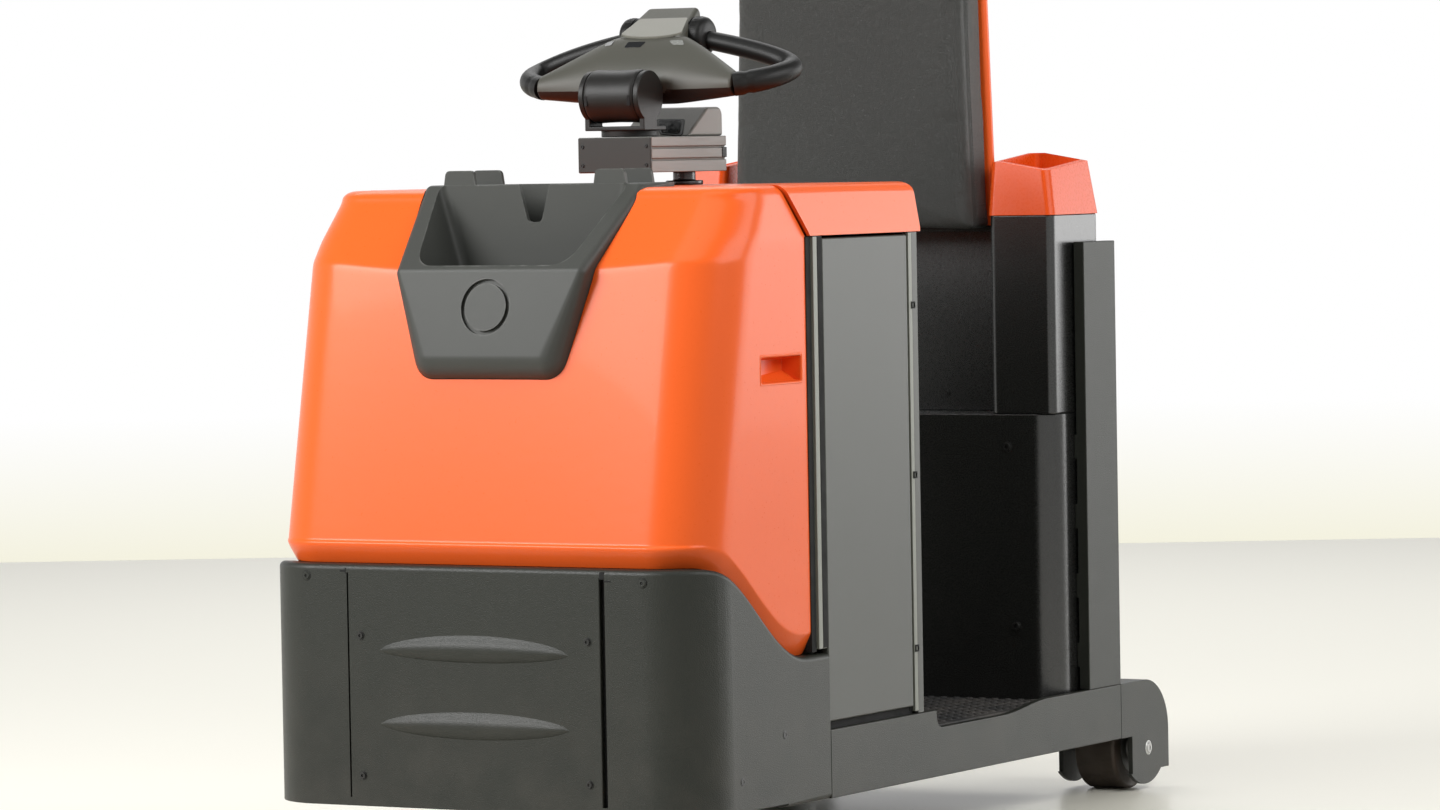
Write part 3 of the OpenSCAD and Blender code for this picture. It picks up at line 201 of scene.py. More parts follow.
class Effects:
    """Shader groups that several finishes share, each built once."""

    def __init__(self) -> None:
        """Builds every group."""
        self.grains = {kind: getattr(self, "_" + kind.value)() for kind in Grain}
        self.tone = self._tone_shift()
        self.dust = self._floor_dust()
        self.wear_and_highlight = self._wear_and_highlight_group()

    def _start(self, kind: Grain) -> tuple[Graph, dict, Node]:
        """Starts a relief group with the usual sockets."""
        return new_group(kind.value, [("Vector", VECTOR), ("Scale", VALUE)], ["Height", "Tone"])

    def _noise(self, graph: Graph, vector: object, scale: object, detail: float = 2.0) -> NodeSocket:
        """Value of a noise texture."""
        return graph.out("ShaderNodeTexNoise", {"Vector": vector, "Scale": scale, "Detail": detail})

    def _cells(self, graph: Graph, vector: object, scale: object, feature: str = "F1") -> NodeSocket:
        """Distance output of a cell texture."""
        node = graph.add("ShaderNodeTexVoronoi", {"Vector": vector, "Scale": scale}, feature=feature)
        return node.outputs["Distance"]

    def _gloss_peel(self) -> NodeTree:
        """Long soft waves of a glossy moulding.

        Returns:
            The node group.
        """
        graph, ins, out = self._start(Grain.PEEL)
        wave = self._noise(graph, ins["Vector"], ins["Scale"], 1.0)
        graph.feed(out.inputs["Height"], wave)
        graph.feed(out.inputs["Tone"], self._noise(graph, ins["Vector"], graph.times(ins["Scale"], 4.0)))
        return graph.tree

    def _paint_stipple(self) -> NodeTree:
        """Small round pimples of textured paint.

        Returns:
            The node group.
        """
        graph, ins, out = self._start(Grain.STIPPLE)
        bead = graph.ramp(self._cells(graph, ins["Vector"], ins["Scale"], "SMOOTH_F1"), 0.1, 0.7, 1.0, 0.0)
        fine = self._noise(graph, ins["Vector"], graph.times(ins["Scale"], 2.3), 3.0)
        graph.feed(out.inputs["Height"], graph.math("ADD", graph.times(bead, 0.7),
                                                    graph.times(fine, 0.5)))
        graph.feed(out.inputs["Tone"], fine)
        return graph.tree

    def _moulding_spark(self) -> NodeTree:
        """Spark-eroded grain of black mouldings.

        Returns:
            The node group.
        """
        graph, ins, out = self._start(Grain.SPARK)
        coarse = self._noise(graph, ins["Vector"], ins["Scale"], 4.0)
        pits = self._cells(graph, ins["Vector"], graph.times(ins["Scale"], 1.7))
        graph.feed(out.inputs["Height"], graph.math("ADD", coarse, graph.times(pits, 0.4)))
        graph.feed(out.inputs["Tone"], coarse)
        return graph.tree

    def _leather_grain(self) -> NodeTree:
        """Pebbles with creases between them, as on leatherette.

        Returns:
            The node group.
        """
        graph, ins, out = self._start(Grain.LEATHER)
        warp = graph.add("ShaderNodeTexNoise", {"Vector": ins["Vector"], "Scale": 90.0}).outputs["Color"]
        bent = graph.out("ShaderNodeVectorMath", {0: warp, 1: (0.006, 0.006, 0.006)}, operation="MULTIPLY")
        place = graph.out("ShaderNodeVectorMath", {0: ins["Vector"], 1: bent}, operation="ADD")
        crease = self._cells(graph, place, ins["Scale"], "DISTANCE_TO_EDGE")
        fine = self._cells(graph, place, graph.times(ins["Scale"], 2.6), "DISTANCE_TO_EDGE")
        height = graph.math("ADD", graph.ramp(crease, 0.0, 0.16),
                            graph.times(graph.ramp(fine, 0.0, 0.2), 0.4))
        graph.feed(out.inputs["Height"], height)
        graph.feed(out.inputs["Tone"], graph.ramp(crease, 0.0, 0.3))
        return graph.tree

    def _brushed_lines(self) -> NodeTree:
        """Fine lines that run along the truck.

        Returns:
            The node group.
        """
        graph, ins, out = self._start(Grain.BRUSHED)
        stretch = graph.out("ShaderNodeMapping", {"Vector": ins["Vector"], "Scale": (1.0, 0.02, 1.0)})
        lines = self._noise(graph, stretch, ins["Scale"], 4.0)
        graph.feed(out.inputs["Height"], lines)
        graph.feed(out.inputs["Tone"], lines)
        return graph.tree

    def _cast_skin(self) -> NodeTree:
        """Rough skin of castings and rubber.

        Returns:
            The node group.
        """
        graph, ins, out = self._start(Grain.CAST)
        lumps = self._noise(graph, ins["Vector"], ins["Scale"], 6.0)
        graph.feed(out.inputs["Height"], lumps)
        graph.feed(out.inputs["Tone"], self._noise(graph, ins["Vector"], graph.times(ins["Scale"], 0.2), 3.0))
        return graph.tree

    def _tone_shift(self) -> NodeTree:
        """Slow wandering of a colour over a large surface.

        Returns:
            The node group.
        """
        graph, ins, out = new_group("tone_shift", [("Vector", VECTOR), ("Scale", VALUE)], ["Share"])
        graph.feed(out.inputs["Share"], graph.ramp(self._noise(graph, ins["Vector"], ins["Scale"], 3.0), 0.3,
                                                   0.7))
        return graph.tree

    def _floor_dust(self) -> NodeTree:
        """Dust that thins out with the height above the ground.

        Returns:
            The node group.
        """
        graph, ins, out = new_group("floor_dust", [("Vector", VECTOR), ("Reach", VALUE), ("Amount", VALUE)],
                                    ["Mask"])
        height = graph.add("ShaderNodeSeparateXYZ", {0: ins["Vector"]}).outputs[2]
        low = graph.math("SUBTRACT", 1.0, graph.math("DIVIDE", height, ins["Reach"]), clamp=True)
        cloud = graph.ramp(self._noise(graph, ins["Vector"], 14.0, 6.0), 0.35, 0.75)
        graph.feed(out.inputs["Mask"], graph.math("MULTIPLY", graph.times(low, cloud), ins["Amount"],
                                                  clamp=True))
        return graph.tree

    def _wear_and_highlight_group(self) -> NodeTree:
        """Rubbed edges and painted edge highlights, found where a rounded normal leaves the true one.

        Returns:
            The node group.
        """
        graph, ins, out = new_group("edge_wear", [("Vector", VECTOR), ("Radius", VALUE), ("Amount", VALUE)],
                                    ["Mask"])
        soft = graph.out("ShaderNodeBevel", {"Radius": ins["Radius"]}, samples=4)
        true = graph.add("ShaderNodeNewGeometry").outputs["Normal"]
        turn = graph.add("ShaderNodeVectorMath", {0: soft, 1: true}, operation="DOT_PRODUCT").outputs["Value"]
        rub_and_highlight = graph.ramp(turn, 0.985, 0.9)
        patch = graph.ramp(self._noise(graph, ins["Vector"], 60.0, 5.0), 0.42, 0.62)
        graph.feed(out.inputs["Mask"], graph.math("MULTIPLY", graph.times(rub_and_highlight, patch), ins["Amount"],
                                                  clamp=True))
        return graph.tree


DUST_COLOUR = (0.23, 0.2, 0.17, 1.0)


@dataclass(frozen=True)
class Finish:
    """Finish of one kind of surface: colour, gloss, relief, rubbed edges and painted edge highlights."""

    name: str
    colour: Colour
    roughness: float
    grain: Grain
    scale: float
    depth: float
    tone: float = 0.08
    spread: float = 0.08
    metallic: float = 0.0
    coat: float = 0.0
    coat_roughness: float = 0.05
    sheen: float = 0.0
    specular: float = 0.5
    dust: float = 0.0
    dust_reach: float = 0.4
    # Lighter edges: rubbed paint on painted steel, a painted highlight on the tray.
    wear_and_highlight: float = 0.0
    wear_and_highlight_colour: Colour = (0.3, 0.3, 0.29)

    def material(self, effects: Effects) -> bpy.types.Material:
        """Builds the finish as a node material.

        Args:
            effects: the shared shader groups.

        Returns:
            The new material.
        """
        made = bpy.data.materials.new(self.name)
        made.use_nodes = True
        made.node_tree.nodes.clear()
        graph = Graph(made.node_tree)
        place = graph.add("ShaderNodeTexCoord").outputs["Object"]
        relief = self._group(graph, effects.grains[self.grain], {"Vector": place, "Scale": self.scale})
        share = self._group(graph, effects.tone, {"Vector": place, "Scale": 3.0}).outputs["Share"]
        fine = graph.math("ADD", graph.times(share, 0.5), graph.times(relief.outputs["Tone"], 0.5))
        low = tuple(c * (1 - self.tone) for c in self.colour) + (1.0,)
        high = tuple(min(c * (1 + self.tone), 1.0) for c in self.colour) + (1.0,)
        colour = graph.blend(fine, low, high)
        rough = graph.ramp(relief.outputs["Tone"], 0.25, 0.75, max(self.roughness - self.spread, 0.03),
                           min(self.roughness + self.spread, 1.0))
        # Edges drawn towards the edge colour: rubbed paint on the panels and jambs, a painted highlight along
        # the tray's rims.
        if self.wear_and_highlight:
            mask = self._group(graph, effects.wear_and_highlight,
                               {"Vector": place, "Radius": 0.004, "Amount": self.wear_and_highlight}).outputs[0]
            colour = graph.blend(mask, colour, self.wear_and_highlight_colour + (1.0,))
        if self.dust:
            mask = self._group(graph, effects.dust, {"Vector": place, "Reach": self.dust_reach,
                                                     "Amount": self.dust}).outputs[0]
            colour = graph.blend(mask, colour, DUST_COLOUR)
            rough = graph.math("ADD", rough, graph.times(mask, 0.3), clamp=True)
        bump = graph.add("ShaderNodeBump", {"Height": relief.outputs["Height"], "Distance": self.depth,
                                            "Strength": 1.0})
        shader = graph.add("ShaderNodeBsdfPrincipled", {
            "Base Color": colour, "Roughness": rough, "Metallic": self.metallic, "Normal": bump.outputs[0],
            "Coat Weight": self.coat, "Coat Roughness": self.coat_roughness, "Sheen Weight": self.sheen,
            "Specular IOR Level": self.specular})
        graph.add("ShaderNodeOutputMaterial", {"Surface": shader.outputs[0]})
        return made

    def _group(self, graph: Graph, tree: NodeTree, inputs: dict) -> Node:
        """Places a shared group with its own values.

        Args:
            graph: the tree that is being built.
            tree: the shared group.
            inputs: values or sockets by the name of the input.

        Returns:
            The group's node.
        """
        node = graph.add("ShaderNodeGroup", node_tree=tree)
        for key, value in inputs.items():
            graph.feed(node.inputs[key], value)
        return node


FINISHES: dict[str, Finish] = {f.name: f for f in (
    Finish("orange_gloss", (0.88, 0.125, 0.018), 0.3, Grain.PEEL, 60.0, 0.0001, tone=0.03, spread=0.03,
           coat=0.06, coat_roughness=0.06, specular=0.22),
    # A darker, redder copy of the hood orange for the cups: the same plastic, darkened as painted shade
    # because the cups stand in the hood's shadow.
    Finish("orange_cup", (0.76, 0.082, 0.008), 0.28, Grain.PEEL, 60.0, 0.0001, tone=0.03, spread=0.03,
           specular=0.2),
    Finish("frame_paint", (0.0195, 0.0215, 0.017), 0.4, Grain.STIPPLE, 700.0, 0.0003, tone=0.14, dust=0.12,
           specular=0.32),
    Finish("panel_paint", (0.046, 0.048, 0.04), 0.38, Grain.STIPPLE, 900.0, 0.00008, tone=0.08, wear_and_highlight=0.3,
           specular=0.42),
    Finish("jamb_paint", (0.2, 0.206, 0.172), 0.4, Grain.STIPPLE, 900.0, 0.00008, tone=0.08, wear_and_highlight=0.3),
    Finish("black_moulding", (0.0075, 0.0078, 0.0072), 0.27, Grain.SPARK, 900.0, 0.00005, tone=0.2,
           dust=0.03, specular=0.8),
    # The tray's lighter edges are a painted highlight, standing for the light that its rims catch.
    Finish("tray_moulding", (0.05, 0.052, 0.0465), 0.46, Grain.SPARK, 1000.0, 0.00016, tone=0.12,
           specular=0.3, wear_and_highlight=0.6, wear_and_highlight_colour=(0.16, 0.16, 0.15)),
    Finish("pad_cover", (0.0195, 0.0208, 0.0182), 0.46, Grain.LEATHER, 420.0, 0.00035, tone=0.2, sheen=0.12),
    Finish("mat_rubber", (0.012, 0.012, 0.012), 0.7, Grain.CAST, 300.0, 0.0003, tone=0.3, dust=0.4),
    Finish("battery_case", (0.05, 0.05, 0.05), 0.5, Grain.SPARK, 500.0, 0.0002, metallic=0.4),
    Finish("wheel_tyre", (0.045, 0.03, 0.02), 0.55, Grain.CAST, 220.0, 0.0004, tone=0.3, dust=0.5,
           dust_reach=0.3),
    Finish("wheel_hub", (0.24, 0.24, 0.235), 0.45, Grain.CAST, 260.0, 0.0003, tone=0.2, metallic=0.85,
           dust=0.3),
    Finish("bare_steel", (0.52, 0.52, 0.5), 0.3, Grain.BRUSHED, 900.0, 0.00005, tone=0.12, metallic=1.0),
    Finish("drive_casting", (0.06, 0.06, 0.06), 0.6, Grain.CAST, 240.0, 0.0006, tone=0.25, metallic=0.3,
           dust=0.4),
    Finish("console_aluminium", (0.19, 0.19, 0.176), 0.42, Grain.BRUSHED, 700.0, 0.00006, tone=0.12,
           metallic=0.1, specular=0.3),
    Finish("handle_moulding", (0.066, 0.065, 0.053), 0.46, Grain.SPARK, 1000.0, 0.00012, tone=0.08,
           specular=0.35),
    Finish("grip_rubber", (0.007, 0.007, 0.0065), 0.42, Grain.SPARK, 1200.0, 0.00012, tone=0.2,
           specular=0.24),
    Finish("end_plate", (0.025, 0.0255, 0.0225), 0.45, Grain.SPARK, 1000.0, 0.00012, tone=0.12, specular=0.3),
    # Dark moulding of the neck and the barrel; on the handle's belly it is painted shade.
    Finish("neck_moulding", (0.011, 0.0105, 0.0095), 0.42, Grain.SPARK, 1100.0, 0.00014, tone=0.15,
           specular=0.28),
    Finish("display_moulding", (0.18, 0.178, 0.16), 0.42, Grain.SPARK, 1000.0, 0.0001, tone=0.08,
           specular=0.4),
    Finish("pod_plate", (0.175, 0.172, 0.145), 0.4, Grain.SPARK, 1400.0, 0.00006, tone=0.06),
    Finish("dark_window", (0.01, 0.011, 0.012), 0.12, Grain.PEEL, 50.0, 0.00002, coat=0.6),
    Finish("lamp_window", (0.22, 0.225, 0.21), 0.25, Grain.PEEL, 80.0, 0.00002, coat=0.4),
    # Flat black: painted shade inside gaps, slits and slots; the snap clips take it as their own black.
    Finish("dark_gap", (0.004, 0.004, 0.004), 0.9, Grain.CAST, 200.0, 0.0001),
    Finish("pad_thread", (0.05, 0.05, 0.048), 0.6, Grain.BRUSHED, 2000.0, 0.0001, tone=0.2),
    Finish("zinc_screw", (0.3, 0.3, 0.29), 0.35, Grain.CAST, 600.0, 0.0001, metallic=1.0),
    Finish("black_screw", (0.016, 0.016, 0.015), 0.35, Grain.CAST, 600.0, 0.0001, metallic=0.2),
)}


class Workshop:
    """Makes finished objects: materials, rounded copies of solids, and placed pieces."""

    def __init__(self) -> None:
        """Builds every finish once."""
        effects = Effects()
        self.materials = {name: finish.material(effects) for name, finish in FINISHES.items()}
        self.slots = {row["node"]: row["material_slot"] for row in frame["record"]["subparts"]}
        self.bodies = {n: b for b, group in frame["record"]["behaviour"]["bodies"].items() for n in group}

    def dress_nodes(self) -> None:
        """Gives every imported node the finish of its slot."""
        for name, node in frame["nodes"].items():
            node.data.materials.clear()
            node.data.materials.append(self.materials[self.slots[name]])

    def piece(self, name: str, bm: BMesh, finish: str, body: str, sharp: float = 35.0,
              replaces: Sequence[str] = (), weighted: bool = True) -> Object:
        """Turns a mesh into a finished piece that rides on a body.

        Args:
            name: the piece's name.
            bm: its mesh, which is used up.
            finish: the name of its finish.
            body: the body that it rides on.
            sharp: edges that turn by more degrees than this stay sharp.
            replaces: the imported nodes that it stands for.
            weighted: whether large faces pull the shading of the rounded edges.

        Returns:
            The new object.
        """
        mesh = bpy.data.meshes.new(name)
        bm.to_mesh(mesh)
        bm.free()
        made = bpy.data.objects.new(name, mesh)
        bpy.context.scene.collection.objects.link(made)
        mesh.shade_smooth()
        mesh.set_sharp_from_angle(angle=math.radians(sharp))
        mesh.materials.append(self.materials[finish])
        if weighted:
            normals = made.modifiers.new("shading", "WEIGHTED_NORMAL")
            normals.keep_sharp = True
        self.place(made, finish, body, replaces)
        return made

    def place(self, made: Object, finish: str, body: str, replaces: Sequence[str] = ()) -> None:
        """Says what a piece rides on and the nodes it stands for.

        Args:
            made: the object.
            finish: name of its finish.
            body: the body that it rides on.
            replaces: the nodes that it stands for.
        """
        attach(made, body)
        if replaces:
            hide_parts(*replaces)
        log.info("%s: %d faces on %s", made.name, len(made.data.polygons), body)

    def rounded(self, node: str, passes: Sequence["Rounding"], sharp: float = 35.0) -> Object:
        """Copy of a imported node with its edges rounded, which stands for the node.

        Args:
            node: the node's name.
            passes: the roundings, done one after the other.
            sharp: edges that turn by more degrees than this stay sharp.

        Returns:
            The new piece.
        """
        bm = solid(node)
        for step in passes:
            step.apply(bm)
        return self.piece(node + "_rounded", bm, self.slots[node], self.bodies[node], sharp, (node,))


def solid(node: str, flat: float = 0.6) -> BMesh:
    """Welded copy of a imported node's mesh with its flat faces joined.

    Args:
        node: the node's name.
        flat: faces that turn by fewer degrees than this become one.

    Returns:
        The copy.
    """
    bm = bmesh.new()
    bm.from_mesh(frame["nodes"][node].data)
    bmesh.ops.remove_doubles(bm, verts=bm.verts, dist=WELD)
    bmesh.ops.dissolve_limit(bm, angle_limit=math.radians(flat), verts=bm.verts, edges=bm.edges)
    return bm


def bevel(bm: BMesh, edges: Sequence[bmesh.types.BMEdge], width: float, segments: int,
          clamp: bool = True) -> None:
    """Rounds some edges of a mesh.

    Args:
        bm: the mesh.
        edges: the edges.
        width: how far the rounding reaches from each edge, in millimetres.
        segments: faces across the rounding.
        clamp: whether it stops where roundings would meet.
    """
    bmesh.ops.bevel(bm, geom=edges, offset=width * MM, offset_type="OFFSET", segments=segments, profile=0.5,
                    affect="EDGES", clamp_overlap=clamp)


@dataclass(frozen=True)
class Rounding:
    """One pass of edge rounding."""

    width: float
    segments: int = 3
    angle: float = 30.0
    where: Optional[Callable[[Vector], bool]] = None
    clamp: bool = True

    def apply(self, bm: BMesh) -> None:
        """Rounds the edges that turn sharply enough and lie where they should.

        Args:
            bm: the mesh.
        """
        edges = [e for e in bm.edges if e.is_manifold and e.calc_face_angle() > math.radians(self.angle)
                 and (self.where is None or self.where((e.verts[0].co + e.verts[1].co) / 2))]
        bevel(bm, edges, self.width, self.segments, self.clamp)


def prism(outline: Sequence[Pair], x0: float, x1: float) -> BMesh:
    """Solid with a side outline of [length, height] points in millimetres, from x0 to x1.

    Args:
        outline: points of the outline.
        x0: one end in millimetres.
        x1: the other end in millimetres.

    Returns:
        The mesh.
    """
    bm = bmesh.new()
    left = [bm.verts.new(at(x0, s, z)) for s, z in outline]
    right = [bm.verts.new(at(x1, s, z)) for s, z in outline]
    bm.faces.new(left)
    bm.faces.new(right)
    for i in range(len(outline)):
        j = (i + 1) % len(outline)
        bm.faces.new((left[i], left[j], right[j], right[i]))
    bmesh.ops.recalc_face_normals(bm, faces=bm.faces)
    return bm


def block(low: Point, high: Point, rounding: float = 0.0, segments: int = 3) -> BMesh:
    """Box between two corners in millimetres, with rounded edges.

    Args:
        low: one corner.
        high: the opposite corner.
        rounding: width of the rounding in millimetres, 0 for sharp edges.
        segments: faces across the rounding.

    Returns:
        The mesh.
    """
    bm = bmesh.new()
    bmesh.ops.create_cube(bm, size=1.0)
    a, b = at(*map(min, low, high)), at(*map(max, low, high))
    for v in bm.verts:
        v.co = Vector((mix(a[i], b[i], v.co[i] + 0.5) for i in range(3)))
    if rounding:
        bevel(bm, bm.edges[:], rounding, segments)
    return bm


def scratch(name: str, bm: BMesh) -> Object:
    """Object for passing use, which is removed again with discard.

    Args:
        name: its name.
        bm: the mesh.

    Returns:
        The object.
    """
    mesh = bpy.data.meshes.new(name)
    bm.to_mesh(mesh)
    bm.free()
    made = bpy.data.objects.new(name, mesh)
    bpy.context.scene.collection.objects.link(made)
    return made


def discard(made: Object) -> None:
    """Removes an object of passing use and its mesh.

    Args:
        made: the object.
    """
    mesh = made.data
    bpy.data.objects.remove(made)
    bpy.data.meshes.remove(mesh)


def settled(made: Object) -> BMesh:
    """Mesh of an object with its modifiers applied.

    Args:
        made: the object.

    Returns:
        The mesh.
    """
    graph = bpy.context.evaluated_depsgraph_get()
    mesh = bpy.data.meshes.new_from_object(made.evaluated_get(graph), depsgraph=graph)
    bm = bmesh.new()
    bm.from_mesh(mesh)
    bpy.data.meshes.remove(mesh)
    return bm


def carve(body: BMesh, cutters: Sequence[BMesh],
          added: Sequence[BMesh] = ()) -> BMesh:
    """Solid with other solids cut out of it.

    Args:
        body: the solid, which is used up.
        cutters: what is cut out, used up as well.
        added: what is joined on after the cuts, used up as well.

    Returns:
        What is left.
    """
    main = scratch("carved", body)
    tools = [scratch("tool", c) for c in [*cutters, *added]]
    for i, tool in enumerate(tools):
        cut = main.modifiers.new("cut", "BOOLEAN")
        cut.operation = "DIFFERENCE" if i < len(cutters) else "UNION"
        cut.solver = "EXACT"
        cut.object = tool
    bm = settled(main)
    for made in [main, *tools]:
        discard(made)
    bmesh.ops.remove_doubles(bm, verts=bm.verts, dist=WELD)
    return bm


def fillet(outline: Sequence[Pair], radii: Sequence[float], steps: int = 6) -> list[Pair]:
    """Closed flat outline with its corners rounded.

    Args:
        outline: the corners in order.
        radii: the radius of each corner, 0 for a sharp one.
        steps: points along each rounded corner.

    Returns:
        The points of the rounded outline.
    """
    out: list[Pair] = []
    for i, (corner, radius) in enumerate(zip(outline, radii)):
        if radius <= 0:
            out.append(tuple(corner))
            continue
        here = Vector(corner)
        back, ahead = Vector(outline[i - 1]) - here, Vector(outline[(i + 1) % len(outline)]) - here
        cut = min(radius / math.tan(back.angle(ahead) / 2), 0.49 * back.length, 0.49 * ahead.length)
        start, end = here + back.normalized() * cut, here + ahead.normalized() * cut
        for k in range(steps + 1):
            t = k / steps
            q = start.lerp(here, t).lerp(here.lerp(end, t), t)
            out.append((q.x, q.y))
    return out


def loft(rings: Sequence[Sequence[Vector]], caps: bool = True) -> BMesh:
    """Skin over closed rings of as many points each.

    Args:
        rings: the rings in order.
        caps: whether the two ends are closed.

    Returns:
        The skin, with its faces pointing outwards.
    """
    bm = bmesh.new()
    rows = [[bm.verts.new(p) for p in ring] for ring in rings]
    for p, q in zip(rows, rows[1:]):
        for i in range(len(p)):
            j = (i + 1) % len(p)
            bm.faces.new((p[i], p[j], q[j], q[i]))
    if caps:
        bm.faces.new(rows[0])
        bm.faces.new(rows[-1])
    bmesh.ops.recalc_face_normals(bm, faces=bm.faces)
    return bm


def lathe(profile: Sequence[Pair], s: float, z: float, steps: int = 56) -> BMesh:
    """Round body about a cross axis.

    Args:
        profile: pairs of place across the truck and radius, in millimetres.
        s: length of the axis behind the nose.
        z: height of the axis.
        steps: points round the axis.

    Returns:
        The closed body.
    """
    turns = [2 * math.pi * i / steps for i in range(steps)]
    return loft([[at(x, s + r * math.cos(a), z + r * math.sin(a)) for a in turns] for x, r in profile])


def slab(outline: Sequence[Pair], s0: float, s1: float) -> BMesh:
    """Solid with a front outline of [across, height] points in millimetres, from length s0 to s1."""
    return loft([[at(x, s, z) for x, z in outline] for s in (s0, s1)])


def convex(points: Iterable[Vector]) -> BMesh:
    """Smallest convex solid round some points, in triangles.

    Args:
        points: the points in metres.

    Returns:
        The solid.
    """
    bm = bmesh.new()
    for p in points:
        bm.verts.new(p)
    made = bmesh.ops.convex_hull(bm, input=bm.verts)
    inside = [g for g in made["geom_interior"] if isinstance(g, bmesh.types.BMVert)]
    bmesh.ops.delete(bm, geom=inside, context="VERTS")
    bmesh.ops.recalc_face_normals(bm, faces=bm.faces)
    return bm


def hull(points: Iterable[Vector], flat: float = 0.4) -> BMesh:
    """Smallest convex solid round some points, with faces that turn by few degrees joined.

    Args:
        points: the points in metres.
        flat: the angle in degrees up to which faces are joined.

    Returns:
        The mesh.
    """
    bm = convex(points)
    bmesh.ops.dissolve_limit(bm, angle_limit=math.radians(flat), verts=bm.verts, edges=bm.edges)
    return bm


def mirrored(bm: BMesh) -> BMesh:
    """Copy of a mesh on the truck's other side.

    Args:
        bm: the mesh.

    Returns:
        The mesh.
    """
    twin = bm.copy()
    for v in twin.verts:
        v.co.x = -v.co.x
    bmesh.ops.reverse_faces(twin, faces=twin.faces)
    return twin


def join(parts: Sequence[BMesh]) -> BMesh:
    """One mesh that holds several, which are used up.

    Args:
        parts: the meshes.

    Returns:
        The mesh.
    """
    bm = bmesh.new()
    for part in parts:
        mesh = bpy.data.meshes.new("part")
        part.to_mesh(mesh)
        part.free()
        bm.from_mesh(mesh)
        bpy.data.meshes.remove(mesh)
    return bm


def paired(bm: BMesh) -> BMesh:
    """A mesh together with its copy on the truck's other side."""
    return join([mirrored(bm), bm])


def inlay(surface: BVHTree, outline: Sequence[Vector], along: Vector, lift: float, sink: float) -> BMesh:
    """Thin plate that follows a surface.

    Args:
        surface: the surface that it lies on.
        outline: its corners, above the surface.
        along: the direction in which the corners drop onto the surface.
        lift: how far it stands out, in millimetres.
        sink: how far it reaches in, in millimetres.

    Returns:
        The plate.
    """
    ring: list[Vector] = []
    for i, p in enumerate(outline):
        q = outline[(i + 1) % len(outline)]
        for k in range(4):
            hit = surface.ray_cast(p.lerp(q, k / 4), along)[0]
            if hit is not None:
                ring.append(hit)
    out = -along.normalized()
    return loft([[p + out * d * MM for p in ring] for d in (lift, -sink)])


